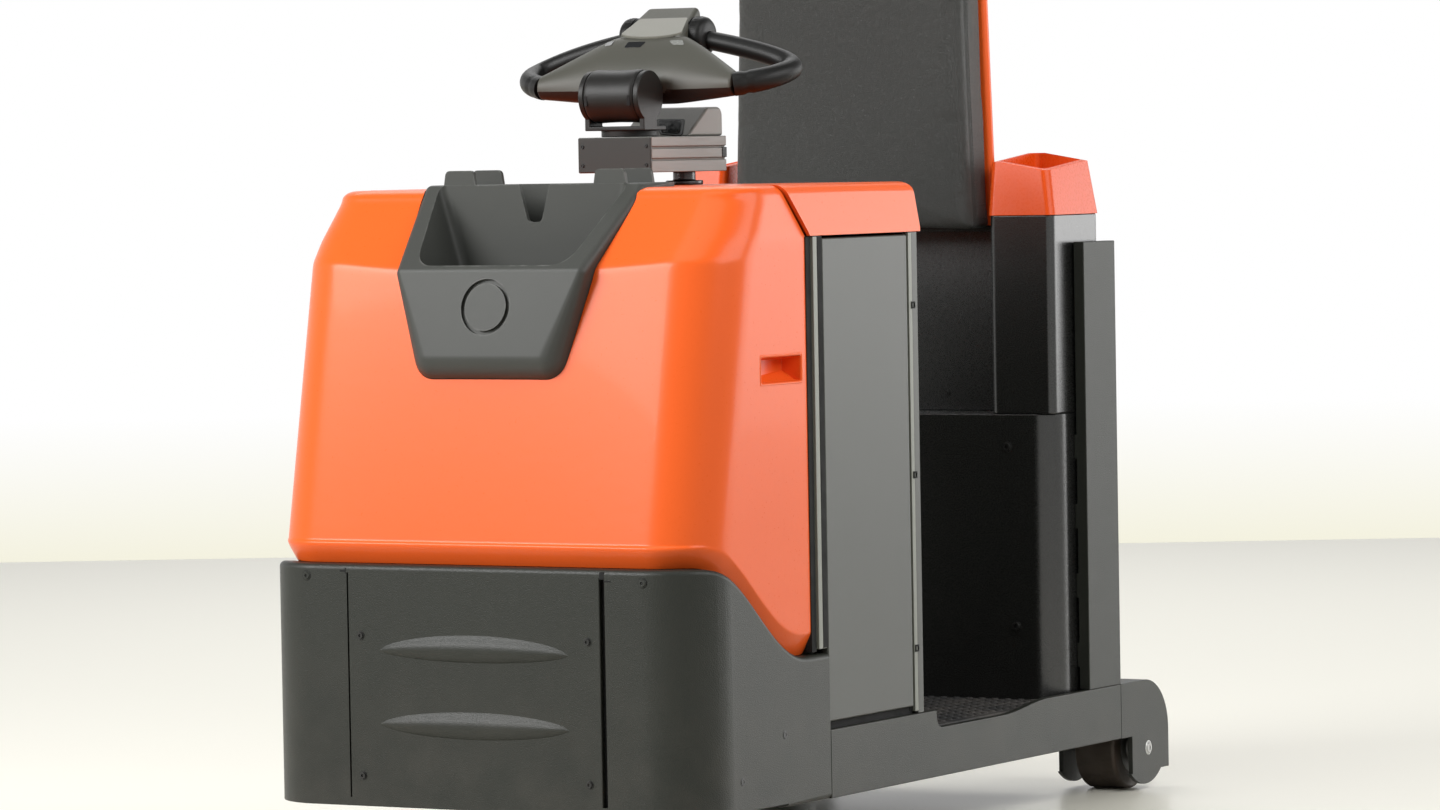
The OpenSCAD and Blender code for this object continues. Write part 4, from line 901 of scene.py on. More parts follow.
class Repeats:
    """Geometry Nodes trees for what repeats: screw heads, clips, studs, ribs and stitches."""

    def __init__(self, shop: Workshop) -> None:
        """Builds each tree once.

        Args:
            shop: makes the pieces.
        """
        self.shop = shop
        self.screws = self._screw_tree()
        self.clips = self._clip_tree()
        self.studs = self._stud_tree()
        self.ribs = self._rib_tree()
        self.stitches = self._stitch_tree()

    def _start(self, name: str, inputs: Sequence[tuple[str, str, object]]) -> tuple[Graph, dict, Node]:
        """Starts a tree with named inputs.

        Args:
            name: the tree's name.
            inputs: each input's name, socket type and first value.

        Returns:
            Its graph, its input sockets by name and its output node.
        """
        tree = bpy.data.node_groups.new(name, "GeometryNodeTree")
        tree.interface.new_socket("Geometry", in_out="INPUT", socket_type="NodeSocketGeometry")
        for label, kind, value in inputs:
            tree.interface.new_socket(label, in_out="INPUT", socket_type=kind).default_value = value
        tree.interface.new_socket("Finish", in_out="INPUT", socket_type="NodeSocketMaterial")
        tree.interface.new_socket("Geometry", in_out="OUTPUT", socket_type="NodeSocketGeometry")
        graph = Graph(tree)
        start = graph.add("NodeGroupInput")
        return graph, {s.name: s for s in start.outputs}, graph.add("NodeGroupOutput")

    def _end(self, graph: Graph, ins: dict, out: Node, shape: object) -> NodeTree:
        """Closes a tree: real geometry with its finish.

        Args:
            graph: the tree that is being built.
            ins: the tree's inputs by name.
            out: the tree's output node.
            shape: the geometry.

        Returns:
            The finished tree.
        """
        real = graph.out("GeometryNodeRealizeInstances", {0: shape})
        painted = graph.out("GeometryNodeSetMaterial", {"Geometry": real, "Material": ins["Finish"]})
        graph.feed(out.inputs[0], painted)
        return graph.tree

    def _on_points(self, graph: Graph, ins: dict, shape: object) -> NodeSocket:
        """Sets a shape on every point, turned to the point's own facing.

        Args:
            graph: the tree that is being built.
            ins: the tree's inputs by name.
            shape: the geometry.

        Returns:
            The instances.
        """
        facing = graph.out("GeometryNodeInputNamedAttribute", {"Name": "facing"}, data_type="FLOAT_VECTOR")
        turn = graph.out("FunctionNodeAlignRotationToVector", {"Vector": facing}, axis="Z")
        return graph.out("GeometryNodeInstanceOnPoints", {"Points": ins["Geometry"], "Instance": shape,
                                                          "Rotation": turn})

    def _cone(self, graph: Graph, sides: int, top: object, foot: object, height: object) -> NodeSocket:
        """Upright cone with closed ends, from its radius at the top and at the foot."""
        return graph.out("GeometryNodeMeshCone", {"Vertices": sides, "Radius Top": top, "Radius Bottom": foot,
                                                  "Depth": height})

    def _screw_tree(self) -> NodeTree:
        """Domed head with a six-sided socket on a flat washer.

        Returns:
            The node group.
        """
        graph, ins, out = self._start("screw_heads", [("Radius", VALUE, 0.005), ("Height", VALUE, 0.003),
                                                      ("Socket", VALUE, 0.0025)])
        radius, height = ins["Radius"], ins["Height"]
        head = self._cone(graph, 24, graph.times(radius, 0.72), graph.times(radius, 0.86), height)
        drive = self._cone(graph, 6, ins["Socket"], ins["Socket"], height)
        lift = graph.out("ShaderNodeCombineXYZ", {2: graph.times(height, 0.4)})
        drive = graph.out("GeometryNodeTransform", {"Geometry": drive, "Translation": lift})
        cut = graph.out("GeometryNodeMeshBoolean", {0: head, 1: drive}, operation="DIFFERENCE")
        washer = self._cone(graph, 28, graph.times(radius, 0.97), radius, graph.times(height, 0.3))
        both = graph.add("GeometryNodeJoinGeometry")
        for shape in (washer, cut):
            graph.tree.links.new(shape, both.inputs[0])
        return self._end(graph, ins, out, self._on_points(graph, ins, both.outputs[0]))

    def _clip_tree(self) -> NodeTree:
        """Small open frame, as a snap clip shows.

        Returns:
            The node group.
        """
        graph, ins, out = self._start("snap_clips", [("Size", VECTOR, (0.01, 0.01, 0.003))])
        frame_box = graph.out("GeometryNodeMeshCube", {"Size": ins["Size"]})
        inner = graph.out("ShaderNodeVectorMath", {0: ins["Size"], 1: (0.55, 0.6, 3.0)}, operation="MULTIPLY")
        hole = graph.out("GeometryNodeMeshCube", {"Size": inner})
        cut = graph.out("GeometryNodeMeshBoolean", {0: frame_box, 1: hole}, operation="DIFFERENCE")
        return self._end(graph, ins, out, self._on_points(graph, ins, cut))

    def _stud_tree(self) -> NodeTree:
        """Even field of low round studs.

        Returns:
            The node group.
        """
        graph, ins, out = self._start("mat_studs", [("Width", VALUE, 0.7), ("Length", VALUE, 0.45),
                                                    ("Across", "NodeSocketInt", 30),
                                                    ("Along", "NodeSocketInt", 20), ("Radius", VALUE, 0.006),
                                                    ("Height", VALUE, 0.002)])
        field_mesh = graph.out("GeometryNodeMeshGrid", {"Size X": ins["Width"], "Size Y": ins["Length"],
                                                        "Vertices X": ins["Across"],
                                                        "Vertices Y": ins["Along"]})
        stud = self._cone(graph, 10, graph.times(ins["Radius"], 0.7), ins["Radius"], ins["Height"])
        spots = graph.out("GeometryNodeInstanceOnPoints", {"Points": field_mesh, "Instance": stud})
        whole = graph.out("GeometryNodeInstanceOnPoints", {"Points": ins["Geometry"], "Instance": spots})
        return self._end(graph, ins, out, whole)

    def _rib_tree(self) -> NodeTree:
        """Ring of flat ribs about each point's own axis.

        Returns:
            The node group.
        """
        graph, ins, out = self._start("ring_ribs", [("Count", "NodeSocketInt", 24), ("Radius", VALUE, 0.03),
                                                    ("Size", VECTOR, (0.002, 0.002, 0.02))])
        ring = graph.out("GeometryNodeMeshCircle", {"Vertices": ins["Count"], "Radius": ins["Radius"]})
        where = graph.out("GeometryNodeInputPosition")
        turn = graph.out("FunctionNodeAlignRotationToVector", {"Vector": where}, axis="X")
        rib = graph.out("GeometryNodeMeshCube", {"Size": ins["Size"]})
        ribs = graph.out("GeometryNodeInstanceOnPoints", {"Points": ring, "Instance": rib, "Rotation": turn})
        return self._end(graph, ins, out, self._on_points(graph, ins, ribs))

    def _stitch_tree(self) -> NodeTree:
        """Short stitches along a line of edges.

        Returns:
            The node group.
        """
        graph, ins, out = self._start("seam_stitches",
                                      [("Spacing", VALUE, 0.006), ("Size", VECTOR, (0.0008, 0.0008, 0.002))])
        line = graph.out("GeometryNodeMeshToCurve", {0: ins["Geometry"]})
        even = graph.out("GeometryNodeResampleCurve", {"Curve": line, "Length": ins["Spacing"]},
                         mode="LENGTH")
        tangent = graph.out("GeometryNodeInputTangent")
        turn = graph.out("FunctionNodeAlignRotationToVector", {"Vector": tangent}, axis="Z")
        bead = graph.out("GeometryNodeMeshUVSphere", {"Segments": 6, "Rings": 5, "Radius": 1.0})
        stitch = graph.out("GeometryNodeTransform", {"Geometry": bead, "Scale": ins["Size"]})
        row = graph.out("GeometryNodeInstanceOnPoints",
                        {"Points": even, "Instance": stitch, "Rotation": turn})
        return self._end(graph, ins, out, row)

    def grow(self, name: str, tree: NodeTree, places: Sequence[tuple[Vector, Point]], values: dict,
             finish: str, body: str, chain: bool = False) -> None:
        """Runs a tree on some points and keeps the result as a plain piece.

        Args:
            name: the piece's name.
            tree: the tree.
            places: each point in metres with the way that it faces.
            values: the tree's inputs by name.
            finish: the name of the finish.
            body: the body that it rides on.
            chain: whether the points are joined into a closed line.
        """
        mesh = bpy.data.meshes.new(name + "_points")
        edges = [(i, (i + 1) % len(places)) for i in range(len(places))] if chain else []
        mesh.from_pydata([p for p, _ in places], edges, [])
        facing = mesh.attributes.new("facing", "FLOAT_VECTOR", "POINT")
        for i, (_, way) in enumerate(places):
            facing.data[i].vector = way
        made = bpy.data.objects.new(name, mesh)
        bpy.context.scene.collection.objects.link(made)
        modifier = made.modifiers.new("repeat", "NODES")
        modifier.node_group = tree
        settings = dict(values, Finish=self.shop.materials[finish])
        for item in tree.interface.items_tree:
            if item.in_out == "INPUT" and item.name in settings:
                modifier[item.identifier] = settings[item.name]
        graph = bpy.context.evaluated_depsgraph_get()
        plain = bpy.data.meshes.new_from_object(made.evaluated_get(graph), depsgraph=graph)
        made.modifiers.clear()
        made.data = plain
        bpy.data.meshes.remove(mesh)
        plain.name = name
        plain.shade_smooth()
        plain.set_sharp_from_angle(angle=math.radians(30.0))
        self.shop.place(made, finish, body)


@dataclass
class Hood:
    """Orange hood over the drive unit, as one smooth surface with a tucked lip along its lower edge."""

    half: float = 386.0
    inset: float = 9.0
    corner: float = 95.0
    top_corner: float = 60.0
    rear: float = 357.0
    lean: float = 90.0
    crown: float = 10.0
    crease: float = 912.0
    rise: float = 14.0
    shoulder: float = 958.0
    top: float = 1037.0
    slope: float = 100.0
    side_slope: float = 10.0
    edge: float = 18.0
    lip: float = 34.0
    tuck: float = 16.0
    wall: float = 5.0
    skirt_top: float = 470.0
    skirt_tail: float = 318.0
    curve: Pair = (40.0, 330.0)
    slant: float = 58.0
    recess: tuple[float, float, float, float] = (215.0, 339.0, 738.0, 778.0)
    recess_deep: float = 32.0
    recess_cut: Pair = (340.0, 400.0)
    clear: Point = (420.0, 1200.0, 407.0)
    tray_rim: float = 7.1
    tray_gap: float = 1.2

    def skirt_edge(self, s: float) -> float:
        """Height of the skirt's upper edge at a length s behind the nose."""
        share = min(max((s - self.curve[0]) / (self.curve[1] - self.curve[0]), 0.0), 1.0)
        return mix(self.skirt_tail, self.skirt_top, (1 + math.cos(math.pi * share)) / 2)

    def columns(self) -> list[tuple[str, float]]:
        """Stations round the right half, from the rear along the side and the corner to the middle.

        Returns:
            The part of the outline and the share along it, for each station.
        """
        side = [("side", i / 22) for i in range(22)]
        arc = [("arc", i / 12) for i in range(12)]
        front = [("front", i / 10) for i in range(11)]
        return side + arc + front

    def plan(self, column: tuple[str, float], front: float, side: float, radius: float) -> Pair:
        """Place in plan of a station for a given inset of front and side and a corner radius.

        Args:
            column: the part of the outline and how far along it the station is.
            front: inset of the front in millimetres.
            side: inset of the side in millimetres.
            radius: corner radius in millimetres.

        Returns:
            Distance from the middle and length behind the nose, in millimetres.
        """
        part, t = column
        half, y0 = self.half - side, self.inset + front
        if part == "side":
            return half, mix(self.rear, y0 + radius, t)
        if part == "arc":
            turn = t * math.pi / 2
            return half - radius + radius * math.cos(turn), y0 + radius - radius * math.sin(turn)
        return (half - radius) * (1 - t), y0

    def rows(self, column: tuple[str, float]) -> list[Vector]:
        """Points of one station from the lip up to the middle of the top.

        Args:
            column: the part of the outline and how far along it the station is.

        Returns:
            The points in metres.
        """
        part, t = column
        across = 1 - t if part == "front" else 1.0
        crease = self.crease + self.rise * across * across
        lean = self.lean - self.crown * (1 - across * across)
        base = self.plan(column, 0.0, 0.0, self.corner)
        foot = self.skirt_edge(base[1])
        low = foot + self.lip
        rows: list[Vector] = []
        for tuck, z in ((self.tuck + 1, foot + 0.5), (self.tuck * 0.5, mix(foot, low, 0.5)),
                        (1.2, low - 3.0)):
            rows.append(at(*self.plan(column, tuck, tuck, self.corner - tuck), z))
        steps = [0.0, 0.008, 0.03] + [0.12 + 0.12 * i for i in range(7)] + [0.93, 0.975, 1.0]
        for q in steps:
            z = mix(low, crease, q)
            inset = lean * max(z - self.skirt_top, 0.0) / (crease - self.skirt_top)
            rows.append(at(*self.plan(column, inset, 0.0, self.corner), z))
        for q in (0.1, 0.2, 0.35, 0.55, 0.8, 1.0):
            z = mix(crease, self.top - self.edge, q)
            rise = max(z - self.shoulder, 0.0) / (self.top - self.edge - self.shoulder)
            rows.append(at(*self.plan(column, mix(lean, self.lean + self.slope - self.edge, q),
                                      self.side_slope * rise, mix(self.corner, self.top_corner, q * 0.5)), z))
        for a in (20, 45, 70, 90):
            turn = math.radians(a)
            give = self.edge * (1 - math.cos(turn))
            rows.append(at(*self.plan(column, self.lean + self.slope - self.edge + 1.5 * give,
                                      self.side_slope + give,
                                      mix((self.corner + self.top_corner) / 2, self.top_corner, a / 90)),
                           self.top - self.edge * (1 - math.sin(turn))))
        last = rows[-1]
        for k in (0.94, 0.6, 0.0):
            rows.append(Vector((last.x * k, mix(last.y, at(0, self.rear, 0).y, 1 - max(k, 0.6)), last.z)))
        return rows

    def skin(self) -> BMesh:
        """Outer surface of the hood, smoothed and given its wall.

        Returns:
            The mesh.
        """
        half = [self.rows(c) for c in self.columns()]
        grid = half + [[Vector((-p.x, p.y, p.z)) for p in row] for row in reversed(half[:-1])]
        bm = bmesh.new()
        verts = [[bm.verts.new(p) for p in row] for row in grid]
        for a, b in zip(verts, verts[1:]):
            for i in range(len(a) - 1):
                bm.faces.new((a[i], a[i + 1], b[i + 1], b[i]))
        bmesh.ops.remove_doubles(bm, verts=bm.verts, dist=WELD)
        bmesh.ops.recalc_face_normals(bm, faces=bm.faces)
        if sum(f.normal.y for f in bm.faces) > 0:
            bmesh.ops.reverse_faces(bm, faces=bm.faces)
        skin = scratch("hood_skin", bm)
        smooth = skin.modifiers.new("smooth", "SUBSURF")
        smooth.levels = smooth.render_levels = 2
        wall = skin.modifiers.new("wall", "SOLIDIFY")
        wall.thickness = self.wall * MM
        wall.offset = -1.0
        bm = settled(skin)
        discard(skin)
        return bm

    def tray_hole(self) -> BMesh:
        """Outer form of the storage tray, a little larger, to cut its opening.

        Returns:
            The solid to cut out.
        """
        rim = (self.top + self.tray_rim) * MM
        bm = convex(v.co for v in frame["nodes"]["storage_tray"].data.vertices if v.co.z < rim)
        bm.normal_update()
        for v in bm.verts:
            v.co += v.normal * self.tray_gap * MM
            if v.co.z > rim - 4 * MM:
                v.co.z += 40 * MM
        return bm

    def build(self, shop: Workshop) -> None:
        """Makes the hood and the two hand recesses.

        Args:
            shop: makes the pieces.
        """
        wide, above, behind = self.clear
        slanted, foot = self.rear - self.slant, self.shoulder - 2
        seam = prism([(self.rear, foot), (self.rear, self.shoulder), (slanted, self.top), (slanted, above),
                      (behind, above), (behind, foot)], -wide, wide)
        s0, s1, z0, z1 = self.recess
        holes = [block((side * self.recess_cut[0], s0, z0), (side * self.recess_cut[1], s1, z1), 5.0)
                 for side in (-1, 1)]
        bm = carve(self.skin(), [self.tray_hole(), seam, *holes])
        shop.piece("hood_shell", bm, "orange_gloss", "chassis", 40.0, ("hood",), weighted=False)
        for name, side in (("left", 1), ("right", -1)):
            self.recess_liner(shop, name, side)

    def recess_liner(self, shop: Workshop, name: str, side: int) -> None:
        """Inside of a hand recess, with a thin frame round its mouth.

        Args:
            shop: makes the pieces.
            name: last part of the piece's name.
            side: 1 on the left, -1 on the right.
        """
        s0, s1, z0, z1 = self.recess
        mouth = self.half + 0.8
        rings = [(mouth - 3, -4.0), (mouth, -3.5), (mouth, -0.5), (mouth - 2, 1.0), (mouth - 12, 2.0),
                 (self.half - self.recess_deep, 5.0)]
        bm = bmesh.new()
        rows = []
        for x, d in rings:
            back = 12.0 if x < mouth - 20 else 0.0
            a, b, c, e = s0 + d, s1 - d, z0 + d, z1 - d
            rows.append([bm.verts.new(at(side * x, s, z)) for s, z in
                         ((a, c), (b, c + back), (b, e), (a, e))])
        for p, q in zip(rows, rows[1:]):
            for i in range(4):
                j = (i + 1) % 4
                bm.faces.new((p[i], p[j], q[j], q[i]))
        bm.faces.new(rows[-1])
        bmesh.ops.recalc_face_normals(bm, faces=bm.faces)
        facing = next(f for f in bm.faces if len(set(f.verts) & set(rows[-1])) == 4)
        if facing.normal.x * side < 0:
            bmesh.ops.reverse_faces(bm, faces=bm.faces)
        bevel(bm, [e for e in bm.edges if e.is_manifold], 1.5, 2)
        shop.piece("hand_recess_" + name, bm, "orange_gloss", "chassis", 40.0)


FRONT, REAR, LEFT, UP = (0.0, -1.0, 0.0), (0.0, 1.0, 0.0), (1.0, 0.0, 0.0), (0.0, 0.0, 1.0)


@dataclass
class Tray:
    """Storage tray in the hood's front: open pocket, slot behind its cross wall, lugs and blank disc."""

    crease: float = 912.0
    top: float = 1037.0
    rim_top: float = 1044.0
    floor: float = 790.0
    front: float = 69.0
    front_corner: float = 30.0
    rear_corner: float = 16.0
    wall: Pair = (200.0, 207.0)
    rear: Pair = (280.0, 287.0)
    slot_floor: float = 894.0
    halves: tuple[float, float, float] = (111.0, 131.0, 168.0)
    lug: tuple[float, float, float, float] = (102.0, 168.0, 8.0, 1066.0)
    vee: tuple[float, float, float] = (28.0, 12.0, 58.0)
    disc: tuple[float, float, float] = (860.0, 36.5, 43.0)
    groove: float = 5.0
    lean: float = 10.26
    face: Pair = (52.6, 860.0)

    def half(self, z: float) -> float:
        """Half width between the rims at a height z.

        Args:
            z: height in millimetres.

        Returns:
            The half width in millimetres.
        """
        foot, fold, high = self.halves
        if z < self.crease:
            return mix(foot, fold, (z - self.floor) / (self.crease - self.floor))
        return mix(fold, high, (z - self.crease) / (self.top - self.crease))

    def opening(self, low: float, s0: float, s1: float, radius: float) -> BMesh:
        """Space between the rims from a height up.

        Args:
            low: the lowest height.
            s0: its front.
            s1: its rear.
            radius: radius of its lower corners.

        Returns:
            The solid to cut out.
        """
        right = [(self.half(z), z) for z in (low, self.crease, self.top)]
        right.append((self.half(self.top) + 8, self.top + 60))
        outline = right + [(-x, z) for x, z in reversed(right)]
        radii = [radius] + [0.0] * (len(outline) - 2) + [radius]
        return slab(fillet(outline, radii), s0, s1)

    def pocket(self) -> BMesh:
        """Open pocket in front of the cross wall, with rounded upright corners.

        Returns:
            The mesh.
        """
        radii = (self.front_corner, self.front_corner, self.rear_corner, self.rear_corner)
        rings = []
        for z in (self.floor, self.crease, self.top, self.top + 60):
            half, back = self.half(min(z, self.top)) + max(z - self.top, 0) * 0.15, self.wall[0]
            plan = fillet([(-half, self.front), (half, self.front), (half, back), (-half, back)], radii, 8)
            rings.append([at(x, s, z) for x, s in plan])
        return loft(rings)

    def groove_ring(self) -> BMesh:
        """Ring groove round the blank disc on the tray's face.

        Returns:
            The mesh.
        """
        height, inner, outer = self.disc
        lean = math.radians(self.lean)
        rings = []
        for radius, depth in ((outer, -8.0), (outer, self.groove), (inner, self.groove), (inner, -8.0)):
            ring = []
            for i in range(64):
                a = 2 * math.pi * i / 64
                up = radius * math.sin(a)
                ring.append(at(radius * math.cos(a),
                               self.face[0] + up * math.sin(lean) + depth * math.cos(lean),
                               height + up * math.cos(lean) - depth * math.sin(lean)))
            rings.append(ring)
        bm = loft(rings + [rings[0]], caps=False)
        bmesh.ops.remove_doubles(bm, verts=bm.verts, dist=WELD)
        bmesh.ops.recalc_face_normals(bm, faces=bm.faces)
        return bm

    def lugs(self, s0: float, s1: float) -> list[BMesh]:
        """Two lugs on top of a cross wall.

        Args:
            s0: front of the wall behind the nose.
            s1: back of the wall behind the nose.

        Returns:
            The meshes.
        """
        inner, outer, lean, top = self.lug
        shape = [(inner, self.top - 20), (inner + lean, top), (outer - lean, top), (outer, self.top - 20)]
        made = slab(fillet(shape, (0.0, 9.0, 9.0, 0.0)), s0 + 0.15, s1 - 0.15)
        return [mirrored(made), made]

    def build(self, shop: Workshop) -> None:
        """Makes the tray with its openings, lugs and disc.

        Args:
            shop: makes the pieces.
        """
        outer = hull(v.co for v in frame["nodes"]["storage_tray"].data.vertices
                     if v.co.z < (self.rim_top + 0.1) * MM)
        wide, narrow, deep = self.vee
        rim, foot = self.rim_top + 1, self.rim_top - deep
        shape = [(-wide, rim), (-narrow, foot), (narrow, foot), (wide, rim)]
        vee = slab(fillet(shape, (0.0, 9.0, 9.0, 0.0)), self.wall[0] - 3, self.wall[1] + 3)
        bm = carve(outer, [self.pocket(), self.opening(self.slot_floor, self.wall[1], self.rear[0], 10.0),
                           vee, self.groove_ring()],
                   self.lugs(*self.wall) + self.lugs(*self.rear))
        Rounding(2.2, 3, 40.0).apply(bm)
        shop.piece("tray_body", bm, "tray_moulding", "chassis", 40.0, ("storage_tray",))


@dataclass
class Nose:
    """Painted nose skirt with its screwed front cover and two pressed louvres."""

    half: float = 224.0
    low: float = 113.0
    high: float = 457.0
    louvre_half: float = 168.0
    louvres: tuple[Point, ...] = ((339.0, 366.0, 324.0), (227.0, 249.5, 207.5))
    crest: float = 8.0
    fold: float = 0.5
    corner: float = 100.0
    soft: float = 9.0
    side: float = 395.0
    opening: float = 230.0
    slits: tuple[tuple[float, float, float, float], ...] = (
        (224.5, 232.5, 455.0, 466.0), (232.0, 244.0, 451.0, 453.5), (-238.0, -228.0, 458.0, 460.5),
        (-228.8, -227.2, 455.0, 464.0))

    def louvre(self, end: float, top: float, bottom: float) -> BMesh:
        """Lens-shaped pressing that grows softly out of the plate and turns in steeply below.

        Args:
            end: height of its two ends.
            top: its highest edge in the middle.
            bottom: its lowest edge in the middle.

        Returns:
            The pressing.
        """
        rings = []
        for i in range(33):
            t = -1 + 2 * i / 32
            bow = max(1 - t * t, 0.004) ** 0.6
            z1, z0, out = mix(end, top, bow), mix(end, bottom, bow), self.crest * bow
            ring = []
            for q in (0.0, 0.06, 0.12, 0.2, 0.3, 0.42, 0.54, 0.64, 0.72, 0.8, 0.87, 0.93, 0.97, 1.0):
                if q < self.fold:
                    bulge = math.sin(math.pi / 2 * q / self.fold) ** 1.5
                else:
                    bulge = max(math.cos(math.pi / 2 * (q - self.fold) / (1 - self.fold)), 0.0) ** 0.75
                ring.append(at(t * self.louvre_half, 0.1 - out * bulge, mix(z1, z0, q)))
            rings.append(ring + [at(t * self.louvre_half, 4.0, (z0 + z1) / 2)])
        return loft(rings)

    def outer_edge(self, p: Vector) -> bool:
        """Whether a point lies on the skirt's outer upper or lower edge.

        Args:
            p: the point in metres.

        Returns:
            True for the outer edges alone.
        """
        x, s, z = abs(p.x) / MM, p.y / MM - NOSE_Y, p.z / MM
        centre = self.side - self.corner
        if x > centre and s < self.corner:
            outside = math.hypot(x - centre, s - self.corner) > self.corner - 4
        else:
            outside = x > self.side - 4 or s < 4.0
        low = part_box("nose_skirt")[0].z / MM
        return outside and (abs(z - Hood().skirt_edge(s)) < 4.0 or abs(z - low) < 1.0)

    def clear_edge(self, p: Vector) -> bool:
        """Whether a point lies clear of the upper and lower edge of the cover's opening."""
        return abs(p.x) > self.opening * MM or p.z > (self.high + 3) * MM or p.z < (self.low - 3) * MM

    def build(self, shop: Workshop) -> None:
        """Makes the skirt, the cover and its louvres.

        Args:
            shop: makes the pieces.
        """
        shop.rounded("nose_skirt", [Rounding(self.soft, 5, 40.0, self.outer_edge, clamp=False),
                                    Rounding(1.2, 2, 60.0, self.clear_edge)])
        plate = block((-self.half, 0.0, self.low), (self.half, 10.0, self.high))
        Rounding(1.8, 3, 40.0, lambda p: abs(p.x) > 0.5 * self.half * MM).apply(plate)
        shop.piece("front_cover", plate, "frame_paint", "chassis", 35.0, ("skirt_cover",))
        louvres = join([self.louvre(*row) for row in self.louvres])
        shop.piece("front_louvres", louvres, "frame_paint", "chassis", 38.0, weighted=False)
        # Black sheet behind the cover and the skirt's window: painted shade that keeps the gaps round the
        # cover dark.
        gap_shade = block((-self.half - 12, 10.3, self.low), (self.half + 16, 13.0, self.high + 11), 0.8)
        shop.piece("cover_backing", gap_shade, "dark_gap", "chassis")
        # Black blocks at the ends of the cover's gaps: painted shade inside the slits.
        slits = [block((x0, -0.35, z0), (x1, 1.5, z1), 0.15, 1) for x0, x1, z0, z1 in self.slits]
        shop.piece("cover_slits", join(slits), "dark_gap", "chassis")


@dataclass
class BatteryBay:
    """Battery doors, the jambs beside them, and black strips of painted shade in the gaps and slits round the
    doors.
    """

    skin: float = 393.0
    door: tuple[float, float, float, float] = (397.0, 671.5, 212.0, 954.0)
    foot: float = 326.0
    head: float = 957.0
    sill: float = 204.0
    front_jamb: Pair = (369.5, 382.5)
    rear_jamb: Pair = (676.5, 690.0)
    front_slit_shade: Pair = (355.0, 369.5)
    rear_slit_shade: Pair = (671.0, 677.0)
    gap: Pair = (382.6, 396.6)

    def strip(self, x0: float, x1: float, s0: float, s1: float, low: float, high: float,
              rounding: float = 0.8) -> BMesh:
        """Upright strip on both sides of the truck."""
        return paired(block((x0, s0, low), (x1, s1, high), rounding, 2))

    def build(self, shop: Workshop) -> None:
        """Makes the doors and everything round them.

        Args:
            shop: makes the pieces.
        """
        s0, s1, low, high = self.door
        panel = block((self.skin - 15, s0, low), (self.skin, s1, high), 3.0, 4)
        shop.piece("bay_door_left", panel.copy(), "panel_paint", "chassis", 35.0, ("battery_door_left",))
        shop.piece("bay_door_right", mirrored(panel), "panel_paint", "chassis", 35.0, ("battery_door_right",))
        panel.free()
        shop.rounded("front_bulkhead", [Rounding(1.0, 2, 40.0)])
        shop.rounded("rear_bulkhead", [Rounding(1.5, 3, 40.0)])
        skin = self.skin
        jambs = join([self.strip(skin - 9, skin - 0.5, *self.front_jamb, self.foot, self.head),
                      self.strip(skin - 6, skin - 0.2, *self.rear_jamb, self.sill, self.head)])
        shop.piece("bay_jambs", jambs, "jamb_paint", "chassis")
        # Black strips in the slit behind the hood, between each door and its rear jamb, and under the doors:
        # painted shade.
        slit_shades = join([self.strip(skin - 17, skin - 5, *self.front_slit_shade, self.foot - 4, self.head),
                      self.strip(skin - 20, skin - 7, *self.rear_slit_shade, self.sill, self.head),
                      self.strip(skin - 30, skin - 8, s0 - 2, s1 + 8, self.sill - 7, low + 6)])
        shop.piece("bay_seals", slit_shades, "dark_gap", "chassis")
        # Black strips between the front jambs and the doors: painted shade in the gaps.
        gaps = self.strip(skin - 3.5, skin + 0.1, *self.gap, self.foot + 1, self.head + 0.5, 0.3)
        shop.piece("bay_gaps", gaps, "dark_gap", "chassis")


